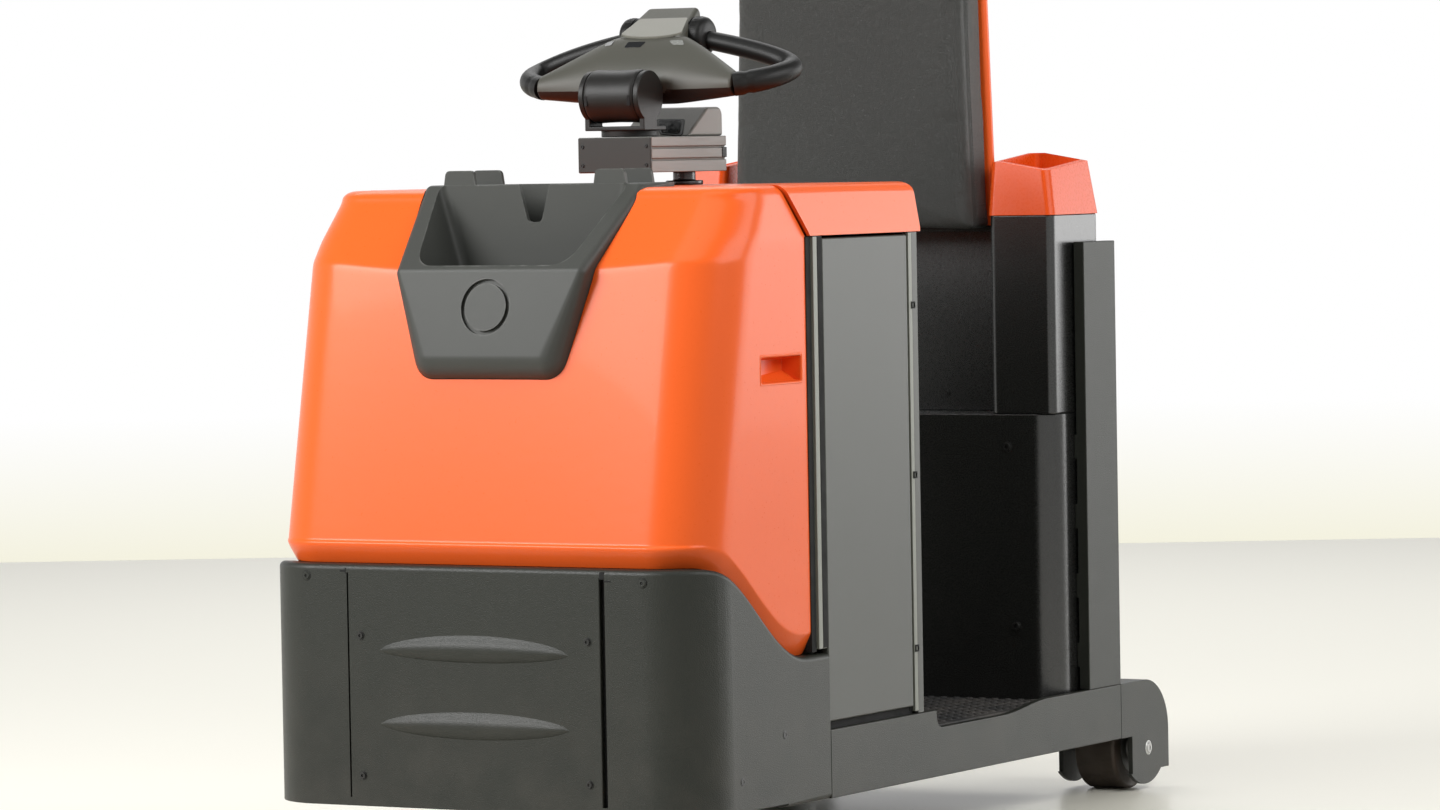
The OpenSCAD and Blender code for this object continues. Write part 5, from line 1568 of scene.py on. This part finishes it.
@dataclass
class Backrest:
    """Stuffed pad of the backrest in front of its orange shell."""

    swell: float = 6.0
    pressure: float = 4.0
    run: int = 20
    ease: float = 0.5
    voxel: float = 6.0
    inset_low: Point = (3.0, 6.0, 2.0)
    inset_high: Point = (3.0, 1.0, 3.0)
    foot: tuple[float, float, float, float, float] = (226.0, 1285.0, 1303.0, 948.5, 958.0)
    seam_back: float = 27.0
    seam_half: float = 7.0
    seam_deep: float = 3.2

    def build(self, shop: Workshop, repeats: Repeats) -> None:
        """Makes the shell with soft edges and the pad by a short cloth run, then its seam and stitches.

        Args:
            shop: makes the pieces.
            repeats: spreads the repeated pieces.
        """
        low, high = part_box("backrest_pad")
        self.shell(shop, low, high)
        bm = solid("backrest_pad")
        for v in bm.verts:
            for i in (0, 1, 2):
                a, b = low[i] + self.inset_low[i] * MM, high[i] - self.inset_high[i] * MM
                v.co[i] = mix(a, b, (v.co[i] - low[i]) / (high[i] - low[i]))
        middle = (low + high) / 2
        Rounding(15.0, 5, 30.0, lambda p: p.y < middle.y).apply(bm)
        Rounding(3.0, 2, 60.0, lambda p: p.y > middle.y).apply(bm)
        pad = scratch("backrest_cushion", bm)
        self.stuff(pad, low, high)
        self.seam(pad, low)
        pad.data.shade_smooth()
        pad.data.materials.append(shop.materials["pad_cover"])
        shop.place(pad, "pad_cover", "chassis", ("backrest_pad",))
        repeats.grow("backrest_stitches", repeats.stitches, self.stitch_line(pad, low, high),
                     {"Spacing": 0.0065, "Size": (0.0009, 0.0009, 0.0024)}, "pad_thread", "chassis",
                     chain=True)

    def shell(self, shop: Workshop, low: Vector, high: Vector) -> None:
        """Orange shell with soft edges behind the pad, and the dark strip along its foot.

        Args:
            shop: makes the pieces.
            low: the pad's lowest corner.
            high: the pad's highest corner.
        """
        bm = solid("backrest_shell")
        for v in bm.verts:
            if v.co.y < high.y + 1 * MM:
                v.co.z = max(v.co.z, low.z + 5 * MM)
        Rounding(9.0, 4).apply(bm)
        shop.piece("backrest_shell_rounded", bm, "orange_gloss", "chassis", 35.0, ("backrest_shell",))
        half, s0, s1, z0, z1 = self.foot
        shop.piece("backrest_foot", block((-half, s0, z0), (half, s1, z1), 2.0), "black_moulding", "chassis")

    def stuff(self, pad: Object, low: Vector, high: Vector) -> None:
        """Swells the pad as cloth under pressure and fits it to its box.

        Args:
            pad: the pad, with its rest shape.
            low: the lowest corner that it reaches.
            high: the highest corner that it reaches.
        """
        remesh = pad.modifiers.new("even", "REMESH")
        remesh.mode = "VOXEL"
        remesh.voxel_size = self.voxel * MM
        bm = settled(pad)
        pad.modifiers.clear()
        bm.to_mesh(pad.data)
        rest = [v.co.copy() for v in bm.verts]
        bm.free()
        cloth = pad.modifiers.new("stuffing", "CLOTH")
        cloth.settings.use_pressure = True
        cloth.settings.uniform_pressure_force = self.pressure
        cloth.settings.effector_weights.gravity = 0.0
        cloth.settings.quality = 5
        for step in range(1, self.run + 1):
            bpy.context.scene.frame_set(step)
        bm = settled(pad)
        pad.modifiers.clear()
        cap = self.swell * MM
        for v, start in zip(bm.verts, rest):
            move = v.co - start
            if move.length > cap:
                v.co = start + move * (cap / move.length)
        bm.to_mesh(pad.data)
        bm.free()
        bpy.context.scene.frame_set(1)
        spots = [v.co.copy() for v in pad.data.vertices]
        ease = self.ease * MM
        for i in range(3):
            least, most = min(p[i] for p in spots), max(p[i] for p in spots)
            for v, p in zip(pad.data.vertices, spots):
                v.co[i] = mix(low[i] + ease, high[i] - ease, (p[i] - least) / (most - least))

    def seam(self, pad: Object, low: Vector) -> None:
        """Pulls in the sewn line between the pad's front and its sides, and smooths the pad.

        Args:
            pad: the pad.
            low: lowest corner of the pad's box in metres.
        """
        smooth = pad.modifiers.new("smooth", "SUBSURF")
        smooth.levels = smooth.render_levels = 1
        bm = settled(pad)
        pad.modifiers.clear()
        line = low.y + self.seam_back * MM
        bm.normal_update()
        for v in bm.verts:
            off = abs(v.co.y - line) / (self.seam_half * MM)
            if off < 1 and abs(v.normal.y) < 0.8:
                v.co -= v.normal * self.seam_deep * MM * (1 - off) ** 2
        bm.to_mesh(pad.data)
        bm.free()

    def stitch_line(self, pad: Object, low: Vector, high: Vector) -> list[tuple[Vector, Point]]:
        """Closed line of points on the pad's sides, just behind the seam.

        Args:
            pad: the finished pad.
            low: its box's lowest corner.
            high: its box's highest corner.

        Returns:
            The points with the way that each faces.
        """
        bm = bmesh.new()
        bm.from_mesh(pad.data)
        tree = BVHTree.FromBMesh(bm)
        bm.free()
        middle = (low + high) / 2
        y = low.y + (self.seam_back + 8.0) * MM
        line: list[tuple[Vector, Point]] = []
        for i in range(160):
            a = 2 * math.pi * i / 160
            way = Vector((math.cos(a) * (high.x - low.x), 0.0, math.sin(a) * (high.z - low.z))).normalized()
            hit = tree.ray_cast(Vector((middle.x, y, middle.z)) + way, -way)[0]
            if hit is not None:
                line.append((hit + way * 0.0002, tuple(way)))
        return line


@dataclass
class Covers:
    """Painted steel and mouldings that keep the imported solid's shape with rounded edges."""

    simple: dict[str, float] = field(default_factory=lambda: {
        "side_beam_left": 2.0, "side_beam_right": 2.0, "platform_mat": 2.5, "tower_base": 3.0,
        "tower_pillars": 2.5, "rear_plate": 2.0, "rear_post_left": 1.5, "rear_post_right": 1.5,
        "wheel_housing_left": 1.5, "wheel_housing_right": 1.5, "steering_column": 2.0, "tow_jaw": 2.0,
        "tow_pin": 1.5, "gear_case": 2.0, "drive_motor": 3.0, "rear_hub_left": 1.5, "rear_hub_right": 1.5,
        "drive_hub": 2.0, "rear_axle_left": 1.5, "rear_axle_right": 1.5})
    # The cups take the darker copy of the hood orange, which paints their shade.
    special: dict[str, str] = field(default_factory=lambda: {
        "swivel_neck": "neck_moulding", "cup_left": "orange_cup", "cup_right": "orange_cup"})

    def build(self, shop: Workshop) -> None:
        """Rounds every plain node.

        Args:
            shop: makes the pieces.
        """
        for node, width in self.simple.items():
            shop.rounded(node, [Rounding(width, 3, 40.0)])
        shop.rounded("battery_cover", [Rounding(4.0, 4, 50.0)])
        for node, finish in self.special.items():
            bm = solid(node)
            Rounding(2.0, 3, 40.0).apply(bm)
            shop.piece(node + "_moulded", bm, finish, shop.bodies[node], 35.0, (node,))


@dataclass
class Console:
    """Beam over the hood that carries the handle, with its end plate and the display wedge."""

    half: float = 67.0
    front: float = 443.0
    low: float = 1058.0
    high: float = 1114.0
    slope: tuple[float, float, float, float] = (565.0, 1114.0, 631.0, 1160.0)
    window: tuple[Pair, ...] = ((-14.0, 0.545), (31.0, 0.53), (45.5, 0.05), (9.5, 0.12))

    def on_slope(self, x: float, share: float, lift: float) -> Vector:
        """Point on the wedge's sloping front, at a share of the way up and a height above it.

        Args:
            x: distance from the middle in millimetres.
            share: 0 at the foot of the slope, 1 at its head.
            lift: height above the slope in millimetres.

        Returns:
            The point in metres.
        """
        s0, z0, s1, z1 = self.slope
        span = math.hypot(s1 - s0, z1 - z0)
        return at(x, mix(s0, s1, share) - lift * (z1 - z0) / span,
                  mix(z0, z1, share) + lift * (s1 - s0) / span)

    def build(self, shop: Workshop) -> None:
        """Makes the beam, its end plate, the plugs and the wedge with its window.

        Args:
            shop: makes the pieces.
        """
        shop.rounded("console_beam", [Rounding(1.6, 3, 40.0)])
        wedge = solid("display_housing")
        Rounding(4.0, 4, 30.0).apply(wedge)
        shop.piece("display_wedge", wedge, "display_moulding", "chassis", 35.0, ("display_housing",))
        plate = block((-self.half + 1, self.front - 2.5, self.low + 1),
                      (self.half - 1, self.front + 3, self.high - 1), 1.2)
        shop.piece("console_end_plate", plate, "end_plate", "chassis")
        plug = paired(block((self.half - 2, 663.0, 1080.0), (self.half + 1.2, 676.5, 1096.0), 1.1))
        shop.piece("console_plugs", plug, "grip_rubber", "chassis")
        centre = Vector((sum(x for x, _ in self.window) / 4, sum(t for _, t in self.window) / 4))
        rings = {}
        for name, grow in (("frame", 1.24), ("glass", 1.0)):
            corners = [centre + (Vector(p) - centre) * grow for p in self.window]
            scaled = [(c.x, c.y * 80.0) for c in corners]
            rings[name] = [(x, y / 80.0) for x, y in fillet(scaled, (6.0,) * 4)]
        rim = loft([[self.on_slope(x, t, d) for x, t in rings["frame"]] for d in (-3.0, 1.4)])
        Rounding(0.8, 2, 50.0).apply(rim)
        shop.piece("display_rim", rim, "grip_rubber", "chassis")
        glass = loft([[self.on_slope(x, t, d) for x, t in rings["glass"]] for d in (-2.0, 1.9)])
        shop.piece("display_glass", glass, "dark_window", "chassis")


@dataclass
class Handle:
    """Steering handle: wing, pod with its plate, drums, looped grips and the tilt barrel."""

    axis: Pair = (463.0, 1178.0)
    rise: float = 16.0
    half: float = 178.0
    core: float = 62.0
    clear: float = 46.5
    tip: Pair = (57.0, 19.0)
    middle: tuple[Pair, ...] = (
        (40.0, -2.0), (46.0, 14.0), (58.0, 31.0), (76.0, 46.0), (98.0, 58.0), (116.0, 65.0), (128.0, 61.0),
        (133.0, 45.0), (130.0, 20.0), (118.0, -6.0), (98.0, -24.0), (76.0, -34.0), (57.0, -32.0),
        (45.0, -15.0))
    tip_turns: tuple[float, ...] = (180, 158, 135, 112, 90, 68, 45, 20, -5, -30, -60, -92, -125, -155)
    drum: Pair = (170.0, 49.0)
    drum_profile: tuple[Pair, ...] = (
        (44.0, 22.0), (46.5, 27.5), (50.0, 30.4), (52.0, 31.0), (52.6, 29.2), (54.0, 29.2), (54.6, 31.0),
        (66.0, 31.0), (71.0, 29.6), (74.5, 26.4), (76.5, 21.0), (77.0, 14.0))
    barrel_half: tuple[Pair, ...] = (
        (45.0, 16.0), (45.0, 37.0), (44.2, 39.8), (42.0, 41.4), (38.0, 42.0), (20.0, 41.0))
    barrel_waist: float = 40.6
    barrel_slot: tuple[Point, Point] = ((36.5, 420.6, 1163.0), (41.5, 426.0, 1179.0))
    pod_corners: tuple[Point, ...] = (
        (60.0, 116.0, 66.0), (46.0, 171.0, 80.0), (46.0, 202.0, 90.0), (45.0, 209.0, 78.0),
        (44.0, 198.0, 40.0), (46.0, 172.0, 24.0), (55.0, 118.0, 20.0))
    plate_low: tuple[Pair, ...] = ((56.0, 121.0), (38.0, 114.0), (14.0, 110.5))
    plate_high: Pair = (44.0, 168.0)
    plate_radii: tuple[float, ...] = (5.0, 6.0, 8.0, 8.0, 6.0, 5.0, 6.0, 6.0)
    grip_start: Point = (68.0, 170.0, 43.0)
    grip_bend: Point = (233.0, 135.0, 0.0)
    grip_end: Point = (174.0, 57.0, 0.0)

    def point(self, x: float, u: float, v: float) -> Vector:
        """Place of a point of the handle's own plane: u rearwards along it, v square to it."""
        a = math.radians(self.rise)
        return at(x, self.axis[0] + u * math.cos(a) - v * math.sin(a),
                  self.axis[1] + u * math.sin(a) + v * math.cos(a))

    def section(self, x: float) -> list[Vector]:
        """Outline of the wing at a distance from the middle.

        Args:
            x: distance from the middle in millimetres.

        Returns:
            The points in metres.
        """
        far = max(abs(x) - self.core, 0.0) / (self.half - self.core)
        share = 1 - far ** 1.1
        ring = []
        for (u, v), turn in zip(self.middle, self.tip_turns):
            a = math.radians(turn)
            p = Vector((mix(self.tip[0] + self.tip[1] * math.cos(a), u, share),
                        mix(self.tip[1] * math.sin(a), v, share)))
            if abs(x) < 60 and p.length < self.clear:
                p = p.normalized() * self.clear
            ring.append(self.point(x, p.x, p.y))
        return ring

    def wing(self) -> BMesh:
        """Curved wing from tip to tip, with a crease along its straight front edge.

        Returns:
            The mesh.
        """
        stations = [0.0, 22.0, 44.0, 58.0, 66.0, 80.0, 100.0, 122.0, 144.0, 162.0, 174.0, self.half]
        across = [-x for x in reversed(stations[1:])] + stations
        bm = loft([self.section(x) for x in across])
        bm.verts.ensure_lookup_table()
        crease = bm.edges.layers.float.new("crease_edge")
        size = len(self.middle)
        for k in range(len(across) - 1):
            edge = bm.edges.get((bm.verts[k * size], bm.verts[(k + 1) * size]))
            edge[crease] = 0.75
        made = scratch("wing", bm)
        smooth = made.modifiers.new("smooth", "SUBSURF")
        smooth.levels = smooth.render_levels = 2
        bm = settled(made)
        discard(made)
        return bm

    def underside(self, wing: BMesh) -> BMesh:
        """Splits off the wing's faces that face down, which get a darker finish as painted shade.

        Args:
            wing: the whole wing, which loses its lower faces.

        Returns:
            The lower shell.
        """
        over = (self.point(0.0, 0.0, 1.0) - self.point(0.0, 0.0, 0.0)).normalized()
        wing.normal_update()
        belly = wing.copy()
        for mesh, sign in ((wing, 1.0), (belly, -1.0)):
            mesh.normal_update()
            away = [f for f in mesh.faces if (f.normal.dot(over) >= 0) != (sign > 0)]
            bmesh.ops.delete(mesh, geom=away, context="FACES")
        return belly

    def pod(self) -> BMesh:
        """Pod on the wing's middle, with softly rounded edges.

        Returns:
            The mesh.
        """
        bm = hull(self.point(side * x, u, v) for x, u, v in self.pod_corners for side in (-1, 1))
        Rounding(9.0, 5, 18.0).apply(bm)
        return bm

    def plate(self) -> BMesh:
        """Raised plate on the pod's face, with a curved lower edge.

        Returns:
            The mesh.
        """
        low = [(-x, u) for x, u in self.plate_low] + list(reversed(self.plate_low))
        half, high = self.plate_high
        soft = fillet(low + [(half, high), (-half, high)], self.plate_radii, 4)
        (_, u0, v0), (_, u1, v1) = self.pod_corners[:2]
        bm = loft([[self.point(x, u, mix(v0, v1, (u - u0) / (u1 - u0)) + d) for x, u in soft]
                   for d in (-2.5, 1.8)])
        Rounding(1.0, 2, 50.0).apply(bm)
        return bm

    def tube(self) -> BMesh:
        """Looped grip on the left, from the drum out and forward to the wing's tip.

        Returns:
            The mesh.
        """
        start, bend, end = Vector(self.grip_start), Vector(self.grip_bend), Vector(self.grip_end)
        curves = ((start, start + Vector((100, -6, -17)), bend + Vector((0, 37, 0)), bend),
                  (bend, bend - Vector((0, 37, 0)), end + Vector((34, 17, 0)), end))
        path: list[Vector] = []
        for a, b, c, d in curves:
            for i in range(24):
                t = i / 24
                e = 1 - t
                path.append(a * e ** 3 + b * 3 * t * e ** 2 + c * 3 * t * t * e + d * t ** 3)
        path.append(end)
        spots = [self.point(*p) for p in path]
        rings = []
        for i, p in enumerate(spots):
            ahead = (spots[min(i + 1, len(spots) - 1)] - spots[max(i - 1, 0)]).normalized()
            side = ahead.cross(Vector(UP)).normalized()
            over = side.cross(ahead)
            radius = mix(15.0, 19.0, i / (len(spots) - 1)) * MM
            if len(spots) - 6 <= i <= len(spots) - 5:
                radius *= 0.93
            rings.append([p + (side * math.cos(a) + over * math.sin(a)) * radius
                          for a in (2 * math.pi * k / 28 for k in range(28))])
        return loft(rings)

    def drums(self) -> BMesh:
        """Thumb drums beside the pod, each with a ring groove.

        Returns:
            The mesh.
        """
        u, v = self.drum
        a = math.radians(self.rise)
        s = self.axis[0] + u * math.cos(a) - v * math.sin(a)
        z = self.axis[1] + u * math.sin(a) + v * math.cos(a)
        return paired(lathe(self.drum_profile, s, z))

    def windows(self, shop: Workshop, wing: BVHTree) -> None:
        """Dark and pale windows let into the wing's upper side.

        Args:
            shop: makes the pieces.
            wing: the wing's surface.
        """
        down = self.point(0.0, 0.0, -1.0) - self.point(0.0, 0.0, 0.0)
        shapes = {"dark_window": [[(-35.0, 90.5), (-33.0, 103.0), (0.0, 103.0), (-6.0, 91.5)],
                                  [(-75.0, 97.0), (-75.0, 107.0), (-61.0, 107.0), (-62.0, 97.0)]],
                  "lamp_window": [[(40.0, 104.0), (65.0, 105.0), (73.0, 95.0), (53.0, 94.5)]]}
        for finish, outlines in shapes.items():
            parts = []
            for outline in outlines:
                spots = [self.point(x, u, 140.0) for x, u in fillet(outline, (2.5,) * 4, 3)]
                parts.append(inlay(wing, spots, down, 0.7, 2.0))
            shop.piece("wing_" + finish, join(parts), finish, "handle")

    def barrel(self) -> BMesh:
        """Tilt barrel with a slight waist and rounded ends."""
        left = [(-x, r) for x, r in self.barrel_half]
        return lathe([*left, (0.0, self.barrel_waist), *reversed(self.barrel_half)], *self.axis)

    def build(self, shop: Workshop) -> None:
        """Makes every piece of the handle.

        Args:
            shop: makes the pieces.
        """
        wing = self.wing()
        tree = BVHTree.FromBMesh(wing)
        belly = self.underside(wing)
        shop.piece("handle_wing", wing, "handle_moulding", "handle", 50.0, ("handle_body",), weighted=False)
        # The down-facing belly gets the darker finish: painted shade on the wing's underside.
        shop.piece("handle_belly", belly, "neck_moulding", "handle", 50.0, weighted=False)
        shop.piece("handle_pod", self.pod(), "handle_moulding", "handle", 35.0)
        shop.piece("pod_face_plate", self.plate(), "pod_plate", "handle", 35.0)
        self.windows(shop, tree)
        shop.piece("grip_loops", paired(self.tube()), "grip_rubber", "handle", 45.0, ("handle_grips",),
                   weighted=False)
        shop.piece("thumb_drums", self.drums(), "grip_rubber", "handle", 40.0)
        shop.piece("tilt_barrel", self.barrel(), "neck_moulding", "handle", 40.0, ("handle_barrel",),
                   weighted=False)
        # Black blocks for the barrel's slots: painted shade inside them.
        slots = paired(block(*self.barrel_slot, 0.4, 2))
        shop.piece("barrel_slots", slots, "dark_gap", "handle")


@dataclass
class Hardware:
    """Screws, clips, studs and fins that repeat over the truck."""

    def both(self, x: float, s: float, z: float, way: Point) -> list[tuple[Vector, Point]]:
        """A place and its mirror image, each facing the same or the mirrored way."""
        return [(at(x, s, z), way), (at(-x, s, z), (-way[0], way[1], way[2]))]

    def screws(self, repeats: Repeats) -> None:
        """Screw heads, by size and finish.

        Args:
            repeats: spreads the repeated pieces.
        """
        rows = {
            "cover_screws": ((6.5, 3.0, 2.6), "black_screw", FRONT, ((202, 0, 361), (202, 0, 147))),
            # Black ring just wider than the skirt screw's head: painted shade round the head.
            "skirt_screw_rings": ((8.0, 0.9, 1.0), "dark_gap", FRONT, ((299, 0.0, 451),)),
            "skirt_screws": ((7.4, 2.2, 2.6), "frame_paint", FRONT, ((299, 0.0, 451),)),
            "skirt_plugs": ((7.0, 0.8, 3.4), "black_screw", LEFT, ((395, 253.5, 205), (395, 123, 146))),
            "tower_bolts": ((9.0, 5.0, 4.0), "black_screw", FRONT, ((284, 1215, 592), (296, 1215, 295))),
            "niche_screws": ((4.5, 2.5, 2.0), "black_screw", FRONT, ((120, 1318, 676),)),
            "rear_bolts": ((10.0, 6.0, 4.5), "zinc_screw", REAR, ((330, 1401, 600), (330, 1401, 260),
                                                                  (130, 1401, 600), (130, 1401, 130))),
            "shell_bolts": ((9.0, 4.0, 4.0), "black_screw", REAR, ((120, 1318, 1300), (120, 1318, 1090))),
            "axle_heads": ((11.0, 1.4, 4.2), "zinc_screw", LEFT, ((395, 1504, 70),)),
            "console_screws": ((3.6, 2.0, 1.6), "black_screw", FRONT,
                               ((58, 440.6, 1099.5), (58, 440.6, 1070))),
        }
        for name, ((radius, height, socket), finish, way, spots) in rows.items():
            places = [p for spot in spots for p in self.both(*spot, way)]
            sizes = {"Radius": radius * MM, "Height": height * MM, "Socket": socket * MM}
            repeats.grow(name, repeats.screws, places, sizes, finish, "chassis")

    def build(self, repeats: Repeats) -> None:
        """Makes every repeated piece.

        Args:
            repeats: spreads the repeated pieces.
        """
        self.screws(repeats)
        clips = [p for s, z in ((689, 843), (687, 576), (684, 303)) for p in self.both(393.2, s, z, LEFT)]
        repeats.grow("jamb_clips", repeats.clips, clips, {"Size": (0.011, 0.011, 0.0024)}, "dark_gap",
                     "chassis")
        repeats.grow("mat_studs", repeats.studs, [(at(0, 960, 173.8), UP)],
                     {"Width": 0.72, "Length": 0.47, "Across": 31, "Along": 20, "Radius": 0.0075,
                      "Height": 0.0026},
                     "mat_rubber", "chassis")
        repeats.grow("motor_fins", repeats.ribs, [(at(0, 215, 430), UP)],
                     {"Count": 30, "Radius": 0.0945, "Size": (0.006, 0.003, 0.13)}, "drive_casting",
                     "drive_unit")
        repeats.grow("drum_ribs", repeats.ribs, [(p, LEFT) for p in self.drum_places()],
                     {"Count": 26, "Radius": 0.0308, "Size": (0.0014, 0.0022, 0.008)}, "grip_rubber",
                     "handle")

    def drum_places(self) -> list[Vector]:
        """Middle of the ribbed part of each thumb drum."""
        handle = Handle()
        return [handle.point(side * 61.0, *handle.drum) for side in (-1, 1)]


@dataclass(frozen=True)
class Lamp:
    """One soft rectangular lamp."""

    name: str
    place: Point
    target: Point
    size: Pair
    power: float

    def build(self) -> None:
        """Hangs the lamp and turns it to its target."""
        lamp = bpy.data.lights.new(self.name, "AREA")
        lamp.energy = self.power
        lamp.shape = "RECTANGLE"
        lamp.size, lamp.size_y = self.size
        made = bpy.data.objects.new(self.name, lamp)
        bpy.context.scene.collection.objects.link(made)
        made.location = self.place
        way = Vector(self.target) - Vector(self.place)
        made.rotation_euler = way.to_track_quat("-Z", "Y").to_euler()


@dataclass
class Studio:
    """Camera, light, floor and world."""

    lens: float = 154.42
    place: Point = (4.97619, -8.64808, 1.09401)
    yaw: float = 29.99
    pitch: float = 2.38
    roll: float = -0.99
    wall_far: float = 16.8
    floor_colour: tuple[float, float, float, float] = (0.95, 0.925, 0.81, 1.0)
    floor_bounce: tuple[float, float, float, float] = (0.36, 0.345, 0.3, 1.0)
    reach: float = 20.0
    behind: float = 6.0
    fill: float = 0.2
    haze: Pair = (-0.066, -0.042)
    overhead: tuple[float, float, float, float] = (0.15, 0.6, 0.0, 0.85)
    haze_colour: tuple[float, float, float, float] = (0.9, 0.88, 0.73, 1.0)
    lamps: tuple[Lamp, ...] = (
        Lamp("front_left", (-2.4, -3.9, 2.9), (0.0, -0.7, 0.75), (2.8, 1.8), 250.0),
        Lamp("right_high", (2.6, -0.3, 2.3), (0.3, 0.1, 0.6), (2.4, 1.4), 54.0),
        Lamp("right_rear", (4.6, 6.0, 1.6), (0.4, 0.0, 0.7), (5.0, 2.6), 150.0),
        Lamp("floor_back", (-2.5, 4.0, 5.0), (-2.5, 4.0, 0.0), (5.0, 5.0), 175.0),
        Lamp("top", (0.0, -2.2, 4.6), (0.0, -1.4, 0.0), (3.0, 3.0), 45.0))

    def build(self) -> None:
        """Sets up the whole scene round the truck."""
        self.camera()
        self.ground()
        for lamp in self.lamps:
            lamp.build()
        self.world()
        bpy.context.scene.view_settings.view_transform = "Standard"

    def ahead(self) -> Vector:
        """Direction in which the camera looks, level with the ground."""
        y = math.radians(self.yaw)
        return Vector((-math.sin(y), math.cos(y), 0.0))

    def camera(self) -> None:
        """Camera at the photograph's place and angle."""
        data = bpy.data.cameras.new("view")
        data.lens = self.lens
        data.sensor_width = 36.0
        data.clip_end = 100.0
        made = bpy.data.objects.new("view", data)
        bpy.context.scene.collection.objects.link(made)
        p, r = math.radians(self.pitch), math.radians(self.roll)
        ahead = self.ahead() * math.cos(p) - Vector(UP) * math.sin(p)
        right = ahead.cross(Vector(UP)).normalized()
        up = right.cross(ahead)
        right, up = (right * math.cos(r) + up * math.sin(r), up * math.cos(r) - right * math.sin(r))
        turn = Matrix((right, up, -ahead)).transposed().to_4x4()
        made.matrix_world = Matrix.Translation(self.place) @ turn
        bpy.context.scene.camera = made

    def ground(self) -> None:
        """Warm pale floor that takes the shadow, out to a set distance ahead of the camera."""
        ahead = self.ahead()
        side = ahead.cross(Vector(UP))
        eye = Vector((self.place[0], self.place[1], 0.0))
        far = eye + ahead * self.wall_far
        near = eye - ahead * self.behind
        edge = side * self.reach
        bm = bmesh.new()
        bm.faces.new([bm.verts.new(p) for p in (near - edge, near + edge, far + edge, far - edge)])
        bmesh.ops.recalc_face_normals(bm, faces=bm.faces)
        if next(iter(bm.faces)).normal.z < 0:
            bmesh.ops.reverse_faces(bm, faces=bm.faces)
        made = scratch("studio_floor", bm)
        paint = bpy.data.materials.new("floor_paint")
        paint.use_nodes = True
        paint.node_tree.nodes.clear()
        graph = Graph(paint.node_tree)
        path = graph.add("ShaderNodeLightPath")
        colour = graph.blend(self.seen(graph, path), self.floor_bounce, self.floor_colour)
        shader = graph.add("ShaderNodeBsdfPrincipled", {"Base Color": colour, "Roughness": 0.3})
        graph.add("ShaderNodeOutputMaterial", {"Surface": shader.outputs[0]})
        made.data.materials.append(paint)

    def seen(self, graph: Graph, path: Node) -> NodeSocket:
        """Share of the rays that show the surroundings: from the camera, off gloss or through glass."""
        other = graph.math("MAXIMUM", path.outputs["Is Glossy Ray"], path.outputs["Is Transmission Ray"])
        return graph.math("MAXIMUM", path.outputs["Is Camera Ray"], other)

    def world(self) -> None:
        """White surroundings for the camera and reflections, soft fill for the rest."""
        world = bpy.data.worlds.new("studio")
        bpy.context.scene.world = world
        world.use_nodes = True
        world.node_tree.nodes.clear()
        graph = Graph(world.node_tree)
        path = graph.add("ShaderNodeLightPath")
        strength = graph.ramp(self.seen(graph, path), 0.0, 1.0, self.fill, 1.0)
        way = graph.add("ShaderNodeTexCoord").outputs["Generated"]
        height = graph.add("ShaderNodeSeparateXYZ", {0: way}).outputs[2]
        tint = graph.blend(graph.ramp(height, *self.haze), self.haze_colour, (1.0, 1.0, 1.0, 1.0))
        shade = graph.times(graph.ramp(height, *self.overhead), path.outputs["Is Glossy Ray"])
        strength = graph.times(strength, graph.math("SUBTRACT", 1.0, shade))
        back = graph.add("ShaderNodeBackground", {"Color": tint, "Strength": strength})
        graph.add("ShaderNodeOutputWorld", {"Surface": back.outputs[0]})


def write_sizes() -> None:
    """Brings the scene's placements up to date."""
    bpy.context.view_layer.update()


def main() -> None:
    """Builds the scene, piece by piece."""
    logging.basicConfig(level=logging.INFO, format="%(name)s: %(message)s")
    shop = Workshop()
    shop.dress_nodes()
    repeats = Repeats(shop)
    Studio().build()
    for assembly in (Hood(), Tray(), Nose(), BatteryBay(), Covers(), Console(), Handle()):
        assembly.build(shop)
    Backrest().build(shop, repeats)
    Hardware().build(repeats)
    write_sizes()


if __name__ == "__main__":
    main()
